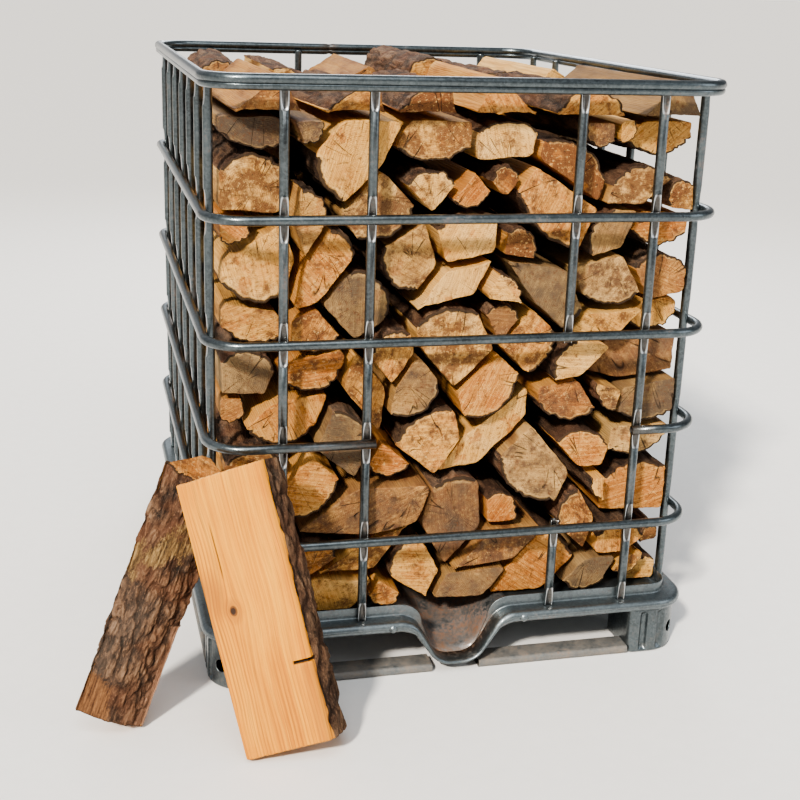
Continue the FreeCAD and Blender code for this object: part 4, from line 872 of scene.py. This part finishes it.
def steelPiece(node, grid, poles, worn=None, finish="tube", shine=None):
    # grid of rings made into a piece that stands in for its CAD node
    if poles:
        points, quads, triangles = capped(grid)
    else:
        points, triangles = grid.reshape(-1, 3), noTriangles
        quads = gridQuads(grid.shape[0], grid.shape[1], closedRows=True)
    layers = {key: np.append(values.ravel(), np.zeros(len(points) - values.size))
              for key, values in (("worn", worn), ("shine", shine)) if values is not None}
    putSteel(node, points, quads, triangles, finish, layers)


def closedRing(node):
    # a circle carried round the ring's path
    path, outward, radius = ringPath(node)
    section = arc((0, 0), radius, 360, 0, cage.around + 1)[:-1]
    steelPiece(node, sweep(path, outward, upwards(path), section), False)


def hatchRing(node):
    # open at the front; the rows turn in at both cut ends and run down the bore
    path, outward, radius = ringPath(node)
    points = nodePoints(node)
    front = points[points[:, 1] < points[:, 1].min() + 2 * radius, 0]
    ends = front[front > cage.hatchMiddle].min(), front[front < cage.hatchMiddle].max()
    turnIn = np.array((cage.boreDepth, cage.lipStep, 0, 0))
    starts, stops = np.tile(path[0], (2, len(turnIn), 1))
    starts[:, 0], stops[:, 0] = ends[0] + turnIn, ends[1] - turnIn[::-1]
    facing = np.tile((0.0, -1.0, 0.0), (len(turnIn), 1))
    path = joined([starts, path, stops])
    outward = joined([facing, outward, facing])
    size = np.full(len(path), radius)
    size[[0, 1, 2, -3, -2, -1]] = radius - cage.tubeWall
    circle = arc((0, 0), 1.0, 360, 0, cage.around + 1)[:-1]
    grid = sweep(path, outward * size[:, None], upwards(path) * size[:, None], circle)
    worn = np.zeros(grid.shape[:2])
    worn[:len(turnIn)] = worn[-len(turnIn):] = 1
    steelPiece(node, grid, True, worn)


def topRail(node):
    # two rolls one over the other with a crease between, pinched and stained at the splice at the back
    upper, lower, apart, crease = cage.railUpper, cage.railLower, cage.railSpacing, cage.railCrease
    below = (upper ** 2 - lower ** 2 + apart ** 2) / (2 * apart)
    tilt = math.degrees(math.asin(below / upper)) - cage.creaseTurn[0]
    turn = math.degrees(math.asin((apart - below) / lower)) - cage.creaseTurn[1]
    section = joined([arc((0, 0), upper, 180 + tilt, -tilt, cage.railSteps[0]), [[crease, -below]],
                      arc((0, -apart), lower, turn, -180 - turn, cage.railSteps[1]), [[-crease, -below]]])
    path, outward, _ = ringPath(node, upper)
    half, count = 2 * cage.cornerSteps, len(cage.splice)
    run = np.tile(path[half - 1], (count, 1))
    run[:, 0] = np.array(cage.splice) + cage.spliceAt
    path = joined([path[:half], run, path[half:]])
    outward = joined([outward[:half], np.tile((0.0, 1.0, 0.0), (count, 1)), outward[half:]])
    pinch = np.ones((len(path), 1))
    pinch[half + 2:half + count - 2, 0] = cage.splicePinch
    grid = sweep(path, outward * pinch, upwards(path) * pinch, section)
    worn = np.zeros(grid.shape[:2])
    worn[half + 1:half + count - 1] = 1
    steelPiece(node, grid, False, worn)


def upright(node, levels):
    # tube along Z; a round-nosed tool presses a long groove at every crossing, flat where the ring sits
    points = nodePoints(node)
    low, high = points.min(0), points.max(0)
    facing = {"front": (0, -1), "back": (0, 1), "left": (-1, 0), "right": (1, 0)}[node.split("_")[0]]
    outward = np.array((*facing, 0.0))
    across = np.array((-facing[1], facing[0], 0.0))
    radius = np.abs((high - low) @ across) / 2
    centre = outward * ((points @ outward).min() + radius) + across * ((low + high) / 2 @ across)
    # rows crowd towards both ends of a groove, where it rises steeply
    steps = cage.dentHalf * np.sin(np.linspace(-math.pi / 2, math.pi / 2, cage.dentRows))
    heights = joined([[low[2] + cage.endGap, high[2] - cage.endGap]] + [level + steps for level in levels])
    heights = np.unique(np.round(heights[(heights > low[2]) & (heights < high[2])], 5))
    # more of the ring's points on the outer half, where the grooves are
    (side, fine), (end, coarse) = cage.frontArc, cage.backArc
    angle = np.radians(joined([np.linspace(-side, side, fine), np.linspace(side, end, coarse)[1:-1]]))
    out = np.cos(angle)[None] * radius + np.zeros((len(heights), 1))
    wide = np.sin(angle)[None] * radius + np.zeros((len(heights), 1))
    tool, soft, (flatHalf, flatEnd) = cage.dentTool, cage.dentSoft, cage.seatHalf
    worn, shine = np.zeros(out.shape), np.zeros(out.shape)
    for level in levels:
        away = np.abs(heights - level)[:, None]
        deep = cage.dentDepth * np.sqrt(unit(1 - (away / cage.dentHalf) ** 2))
        groove = radius - deep + tool - np.sqrt(np.clip(tool ** 2 - wide ** 2, 0, None))
        groove = np.where((deep > 0) & (np.abs(wide) < tool), groove, cage.noGroove)
        seat = radius - cage.seatDepth * (1 - unit((away - flatHalf) / (flatEnd - flatHalf)))
        # the lower of the two, less (soft - gap)^2 / (4 soft) near where they meet, which rounds the rims
        gap = np.abs(out - groove)
        pressed = np.minimum(out, groove) - np.clip(soft - gap, 0, None) ** 2 / (4 * soft)
        fresh = np.minimum(pressed, seat)
        worn = np.maximum(worn, unit((out - fresh) / cage.wornStep))
        # painted highlight: the groove's raised rims and run-out ends get the rim mask, painted near-white by
        # the steel finish, partly polish
        shine = np.maximum(shine, unit(1 - gap / cage.ridge) * unit((cage.dentHalf - away) / cage.ridge))
        out = fresh
    grid = centre + outward * out[..., None] + across * wide[..., None]
    grid[..., 2] = heights[:, None]
    # both ends turn in over the wall and run down the bore
    share = 1 - cage.tubeWall / radius
    lips = centre + (grid[[0, -1]] - centre) * (share, share, 1)
    lips[..., 2] = heights[[0, -1], None]
    bores = lips + np.array([[[0, 0, cage.endBore]], [[0, 0, -cage.endBore]]])
    grid = joined([[bores[0], lips[0]], grid, [lips[1], bores[1]]])
    ends = ((2, 2), (0, 0))
    steelPiece(node, grid, True, np.pad(worn, ends, constant_values=1), shine=np.pad(shine, ends))


rimShape = {
    "bendSteps": 12, "fillet": 0.004, "sheet": 0.0025, "roll": 0.0115, "lip": 0.0055, "wall": 0.0369,
    "upstand": 0.022, "dipDepth": 0.093, "dipFlat": 0.010, "dipAngle": 60.0, "topBend": 0.050,
    "bottomBend": 0.045, "cornerRadius": 0.080, "crease": 0.0022, "openShare": 0.45, "lipThin": 0.55,
    "troughRows": 14, "troughEnd": 0.02,
}
rim = named(rimShape)


def rimSection():
    # ledge, rolled edge and its lip, then back along the inside of the sheet; heights from the middle
    roll, sheet, wall, fillet, crease = rim.roll, rim.sheet, rim.wall, rim.fillet, rim.crease
    ledge = (2 * roll - rim.upstand) / 2
    low, top, under = ledge - 2 * roll, ledge + rim.upstand, ledge - sheet
    bend, centre = fillet + sheet, (-roll, ledge - roll)
    outline = joined([
        arc((-wall - sheet / 2, top - sheet / 2), sheet / 2, 180, 0, 5),
        arc((-wall + fillet, ledge + fillet), fillet, 180, 270, 5),
        arc(centre, roll, 90, 4, 10),
        arc(centre, roll - crease, -4, -14, 3),
        arc(centre, roll - crease / 4, -22, -90, 8),
        [[-roll - rim.lip, low], [-roll - rim.lip, low + sheet]],
        arc(centre, roll - sheet, -90, 90, 11),
        arc((-wall + fillet, under + bend), bend, 270, 180, 5)])
    middle = (low + top) / 2
    return outline - (0, middle), ledge - middle


def dipPath(level):
    # level, down round the top bend, a straight slope, round the bottom bend and level; then its mirror image
    steep = math.radians(rim.dipAngle)
    bends = rim.topBend + rim.bottomBend
    slope = (rim.dipDepth - bends * (1 - math.cos(steep))) / math.sin(steep)
    half = rim.dipFlat + bends * math.sin(steep) + slope * math.cos(steep)
    turn = np.linspace(0, steep, rim.bendSteps)
    back = turn[::-1]
    low = level - rim.dipDepth
    top = np.stack([-half + rim.topBend * np.sin(turn), level - rim.topBend * (1 - np.cos(turn))], 1)
    bottom = np.stack([-rim.dipFlat - rim.bottomBend * np.sin(back),
                       low + rim.bottomBend * (1 - np.cos(back))], 1)
    left = joined([top, bottom])
    tilt = -joined([turn, back])
    return joined([left, left[::-1] * (-1, 1)]), joined([tilt, -tilt[::-1]])


def palletRim(node):
    # the sheet's section carried round the pallet and down through the dip
    high = nodePoints(node).max(0)
    section, ledge = rimSection()
    level = high[2] - section[:, 1].max()
    path, outward = loopPath(high[0], high[1], rim.cornerRadius, cage.cornerSteps)
    path[:, 2] = level
    dip, tilt = dipPath(level)
    dipPoints = np.stack([dip[:, 0], np.full(len(dip), -high[1]), dip[:, 1]], 1)
    up = joined([upwards(path), np.stack([-np.sin(tilt), 0 * tilt, np.cos(tilt)], 1)])
    side = joined([outward, np.tile((0.0, -1.0, 0.0), (len(dip), 1))])
    # in the dip the upstand sinks into the ledge and the roll thins to a lip, by an s-curve of the depth
    sunk = eased(unit((level - dip[:, 1]) / (rim.dipDepth * rim.openShare)))
    sunk = joined([np.zeros(len(path)), sunk])[:, None]
    rise = section[:, 1] - ledge
    rise = ledge + np.where(rise > 0, rise * (1 - sunk), rise * (1 - rim.lipThin * sunk))
    profile = np.stack([np.broadcast_to(section[:, 0], rise.shape), rise], -1)
    grid = sweep(joined([path, dipPoints]), side, up, profile)
    worn = np.where(section[:, 0] < -rim.roll, 2.0 * sunk, 0.0)
    steelPiece(node, grid, False, worn, "sheet")
    drainTrough("drain_trough", dip - (0, level), level + ledge)


def drainTrough(node, dip, ledge):
    # sheet with two faces: a valley whose cross-section is the dip, sinking less towards the back
    reach = nodePoints(node)[:, 1]
    share = np.linspace(0, 1, rim.troughRows)
    depth = dip[:, 1:] * (1 - share * (1 - rim.troughEnd))
    inward = reach.min() + (reach.max() - reach.min()) * share
    top = np.stack([*np.broadcast_arrays(dip[:, :1], inward, ledge + depth)], -1)
    grid = joined([top[:, ::-1], top - (0, 0, rim.sheet)], 1)
    steelPiece(node, grid, True, finish="dirty")


for node in ("upper_ring", "middle_ring", "lower_ring"):
    closedRing(node)
hatchRing("hatch_ring")
topRail("top_rail")
palletRim("pallet_rim")
crossings = [nodePoints(ring)[:, 2] for ring in ("upper_ring", "middle_ring", "hatch_ring", "lower_ring")]
crossings = [(heights.min() + heights.max()) / 2 for heights in crossings]
crossings.append(nodePoints("top_rail")[:, 2].min() + cage.railLower)
uprightNodes = [node for node in frame["nodes"] if "_upright_" in node]
crossings.append(min(nodePoints(node)[:, 2].min() for node in uprightNodes))
for node in uprightNodes:
    heights = nodePoints(node)[:, 2]
    low, high = heights.min() - cage.endReach, heights.max() + cage.endReach
    upright(node, [level for level in crossings if low < level < high])
print("cage dressed:", len(uprightNodes), "uprights, 4 rings and the rail")


# Pressed feet: cups with flutes in their outer faces and a round hole in each corner foot

footShape = {
    "wall": 0.004, "edge": 0.005, "edgeShare": 0.4, "soleInset": 0.0095, "soleStep": 0.003, "topStep": 0.0012,
    "corner": 0.014, "outerCorner": 0.068, "fluteHalf": 0.0095, "fluteDepth": 0.0085,
    "fluteFade": (0.003, 0.014),
    "cornerFlutes": (-0.071, -0.033, 0.033, 0.071), "middleFlutes": (-0.123, -0.089, -0.055, -0.021),
    "columns": 250, "arcSteps": 41, "cellSize": 0.002, "lowRows": (0.007, 0.010, 0.014, 0.019), "highRows": 7,
    "rowGap": 0.004, "holeRadius": 0.013, "holeLevel": 0.047, "holeSquare": 0.012, "holeReach": 0.022,
}
foot = named(footShape)
quarterTurns = {"front_right": 0, "right": 1, "back_right": 1, "back": 2, "back_left": 2,
                "left": 3, "front_left": 3, "centre": 0}


def footOutline(halfX, halfY, radii, steps):
    # rounded rectangle and its outward directions, from the middle of the front right corner round
    angles = np.radians(joined([np.linspace(start, start + 90, steps) for start in (-90, 0, 90, 180)]))
    outward = np.stack([np.cos(angles), np.sin(angles)], 1)
    radius = np.repeat(radii, steps)[:, None]
    signs = np.repeat([[1, -1], [1, 1], [-1, 1], [-1, -1]], steps, 0)
    points = signs * ((halfX, halfY) - radius) + radius * outward
    order = np.append(np.roll(np.arange(len(points)), -(steps // 2)), steps // 2)
    return points[order], outward[order]


def roundHole(around, level):
    # square rings of cells round the hole are drawn to circles, most at the hole and not at all at the reach
    above = level - foot.holeLevel
    square = np.maximum(np.abs(around), np.abs(above))
    share = unit((square - foot.holeSquare) / (foot.holeReach - foot.holeSquare))
    apart = np.maximum(np.hypot(around, above), tiny)
    scale = share + (1 - share) * foot.holeRadius / apart
    scale = np.where((square < foot.holeReach) & (square > foot.holeSquare - foot.cellSize / 2), scale, 1)
    return around * scale, foot.holeLevel + above * scale


def pressedFoot(node, turns, isCorner):
    # rows: under the sole, up the outer wall, over the top, down the inner wall and over the sole
    box = nodePoints(node)
    low, high = box.min(0), box.max(0)
    half = (high - low)[:2] / 2
    if turns % 2:
        half = half[::-1]
    radii = [foot.outerCorner if isCorner else foot.corner] + [foot.corner] * 3
    points, outward = footOutline(*half, radii, foot.arcSteps)
    travel = travelled(points)
    reach, edge, sole, step = foot.holeReach, foot.edge, foot.wall, foot.topStep
    near = np.arange(-reach, reach + foot.cellSize / 2, foot.cellSize)
    columns = joined([near, np.linspace(reach, travel[-1] - reach, foot.columns)[1:-1]])
    top, hole = high[2] - low[2], foot.holeLevel + near
    wall = joined([foot.lowRows, hole, np.linspace(hole[-1] + foot.rowGap, top - foot.rowGap, foot.highRows)])
    bevel = edge * foot.edgeShare
    under, over = [0, 0, bevel, edge], [top - step, top, top, top - step]
    rise = joined([under, wall, over, wall[::-1], [sole + edge, sole, sole]])
    inset = joined([[foot.soleInset, edge, bevel, 0], np.zeros(len(wall)), [0, step, sole - step, sole],
                    np.full(len(wall), sole), [sole, sole + foot.soleStep, foot.soleInset]])
    around, level = np.meshgrid(columns, rise)
    if isCorner:
        around, level = roundHole(around, level)
    place = np.mod(around, travel[-1])
    spot, normal = [np.stack([np.interp(place, travel, values[:, k]) for k in range(2)], -1)
                    for values in (points, outward)]
    normal = normal / np.linalg.norm(normal, axis=-1, keepdims=True)
    # flute: depth * (1 - share^4)^2 across it, fading out at the sole and at the top
    start, end = foot.fluteFade
    fade = eased(unit((np.minimum(level, top - level) - start) / (end - start)))
    flute = 0
    for middle in foot.cornerFlutes if isCorner else foot.middleFlutes:
        offset = np.mod(around - middle + travel[-1] / 2, travel[-1]) - travel[-1] / 2
        flute = flute + unit(1 - (offset / foot.fluteHalf) ** 4) ** 2
    flat = spot - normal * (inset[:, None] + foot.fluteDepth * flute * fade)[..., None]
    turn = np.linalg.matrix_power(np.array([[0, 1], [-1, 0]]), turns)
    grid = joined([flat @ turn + (low + high)[:2] / 2, low[2] + level[..., None]], 2)
    points, quads, triangles = capped(grid)
    if isCorner:
        # the hole's rows, going up the outer wall and coming back down the inner one
        holeRows = len(foot.lowRows) + np.arange(len(near))
        outer = len(under) + holeRows
        inner = len(under) + 2 * len(wall) + len(over) - 1 - holeRows
        quads = openHole(quads, len(columns), near, outer, inner)
    putSteel(node, points, quads, triangles, "foot")


def openHole(quads, columns, near, outer, inner):
    # drops the cells inside the hole on both walls, whose rows are outer and inner, and joins the two rims
    inside = np.flatnonzero(np.abs(near) < foot.holeSquare + tiny)
    left, right = inside[0], inside[-1]
    row, column = quads[:, 0] // columns, quads[:, 0] % columns
    within = (column >= left) & (column < right)
    isOuter = (row >= outer[left]) & (row < outer[right])
    isInner = (row >= inner[right]) & (row < inner[left])
    # the rim's cells, counter-clockwise: along the bottom, up, back along the top and down
    span = np.arange(left, right)
    first, last, back = np.full(len(span), left), np.full(len(span), right), span[::-1] + 1
    across, along = joined([span, last, back, first]), joined([first, span, last, back])
    front, behind = outer[along] * columns + across, inner[along] * columns + across
    tunnel = np.stack([front, np.roll(front, -1), np.roll(behind, -1), behind], 1)
    return joined([quads[~(within & (isOuter | isInner))], tunnel])


for node in slotNames:
    if "_foot" in node:
        spot = node.replace("corner_foot_", "").replace("side_foot_", "").replace("_foot", "")
        pressedFoot(node, quarterTurns[spot], "corner" in node)
print("feet pressed")

# the CAD pieces' own finish
slotFinish = {"galvanised_tube": "tube", "galvanised_sheet": "sheet", "rusted_sheet": "dirty"}
for node, slot in slotNames.items():
    if slot in slotFinish:
        mesh = frame["nodes"][node].data
        mesh.materials.clear()
        mesh.materials.append(zinc["dusty" if "skids" in node else slotFinish[slot]])


# Floor, light and camera

stageLook = {"floor": (0.82, 0.81, 0.79), "grit": (0.74, 0.73, 0.71), "gritNoise": (30.0, 3.0, 0.5),
             "gritShare": 0.6, "floorHalf": 900.0, "skyPower": 0.62, "horizon": (0.36, 0.38, 0.41),
             "zenith": (0.97, 0.98, 1.0), "skyStops": (0.5, 0.78), "shade": (0.16, 0.17, 0.19),
             "shadeRise": (-0.15, 0.75), "shadeShare": 0.85, "shadeTurn": 0.3, "haze": (1.92, 1.84, 1.72),
             "hazeRise": (0.11, 0.05)}
# kind, place, aim, size (metres across, or the angle of a far light), power and colour
stageLights = {
    "keyLight": ("SUN", (-2.7, -3.6, 3.9), (0, 0, 0.55), 0.09, 5.7, (1.0, 0.93, 0.83)),
    "fillLight": ("AREA", (3.4, -2.6, 2.4), (0, 0, 0.6), 2.2, 45.0, (0.9, 0.95, 1.0)),
    "backLight": ("AREA", (0.6, 3.6, 3.2), (0, 0, 0.6), 2.4, 90.0, (0.95, 0.97, 1.0)),
    "topLight": ("AREA", (-0.6, -2.7, 4.1), (0, -0.5, 0.7), 2.4, 75.0, (0.95, 0.98, 1.0)),
}
cameraView = {"place": (-0.709893, -2.804564, 1.303864), "yaw": 0.254, "pitch": 0.308, "roll": 0.034,
              "focalPixels": 1300.842, "framePixels": 800, "sensor": 36.0, "clipEnd": 3000}


def setStage():
    look = named(stageLook)
    finish = Finish("paleFloor", Roughness=0.9)
    grit = finish.noise(finish.add("TexCoord", out="Object"), *look.gritNoise)
    finish.drive(Base_Color=finish.blend(grit * look.gritShare, look.floor, look.grit))
    corners = look.floorHalf * np.array([[-1, -1, 0], [1, -1, 0], [1, 1, 0], [-1, 1, 0]])
    quad = np.array([[0, 1, 2, 3]])
    floor = putMesh("paleFloor", corners, quad, noTriangles, [0], [finish.material], smooth=False)
    world = bpy.data.worlds.new("studioSky")
    world.use_nodes = True
    sky = Nodes(world.node_tree)
    rightward, onward, height = sky.parts(sky.add("TexCoord", out="Generated"))
    colour = sky.ramp(height * 0.5 + 0.5, tuple(zip(look.skyStops, (look.horizon, look.zenith))))
    shaded = (rightward - onward * look.shadeTurn).rise(*look.shadeRise)
    colour = sky.blend(shaded * look.shadeShare, colour, look.shade)
    # a pale band as bright as the far floor hides the horizon
    colour = sky.blend(height.rise(*look.hazeRise), colour, look.haze)
    background = world.node_tree.nodes["Background"]
    plug(world.node_tree, background.inputs["Color"], colour)
    background.inputs["Strength"].default_value = look.skyPower
    bpy.context.scene.world = world
    bpy.context.scene.view_settings.look = "AgX - Medium High Contrast"


def addLight(name, kind, place, aim, size, power, colour):
    light = bpy.data.lights.new(name, kind)
    setattr(light, "size" if kind == "AREA" else "angle", size)
    light.energy, light.color = power, colour
    lamp = bpy.data.objects.new(name, light)
    lamp.location = place
    lamp.rotation_euler = (Vector(aim) - Vector(place)).to_track_quat("-Z", "Y").to_euler()
    bpy.context.scene.collection.objects.link(lamp)


def setCamera():
    # yaw, pitch and roll in radians, as fitted to the photo
    view = named(cameraView)
    flat = math.cos(view.pitch)
    ahead = Vector((math.sin(view.yaw) * flat, math.cos(view.yaw) * flat, -math.sin(view.pitch)))
    level = Vector((math.cos(view.yaw), -math.sin(view.yaw), 0))
    above = level.cross(ahead)
    right = math.cos(view.roll) * level + math.sin(view.roll) * above
    up = math.cos(view.roll) * above - math.sin(view.roll) * level
    data = bpy.data.cameras.new("photoView")
    data.sensor_width = view.sensor
    data.lens = view.focalPixels / view.framePixels * view.sensor
    data.clip_end = view.clipEnd
    camera = bpy.data.objects.new("photoView", data)
    turn = Matrix((right, up, -ahead)).transposed().to_4x4()
    camera.matrix_world = Matrix.Translation(view.place) @ turn
    bpy.context.scene.collection.objects.link(camera)
    bpy.context.scene.camera = camera


setStage()
for name, light in stageLights.items():
    addLight(name, *light)
setCamera()
print("stage, lights and camera set")

bpy.context.view_layer.update()
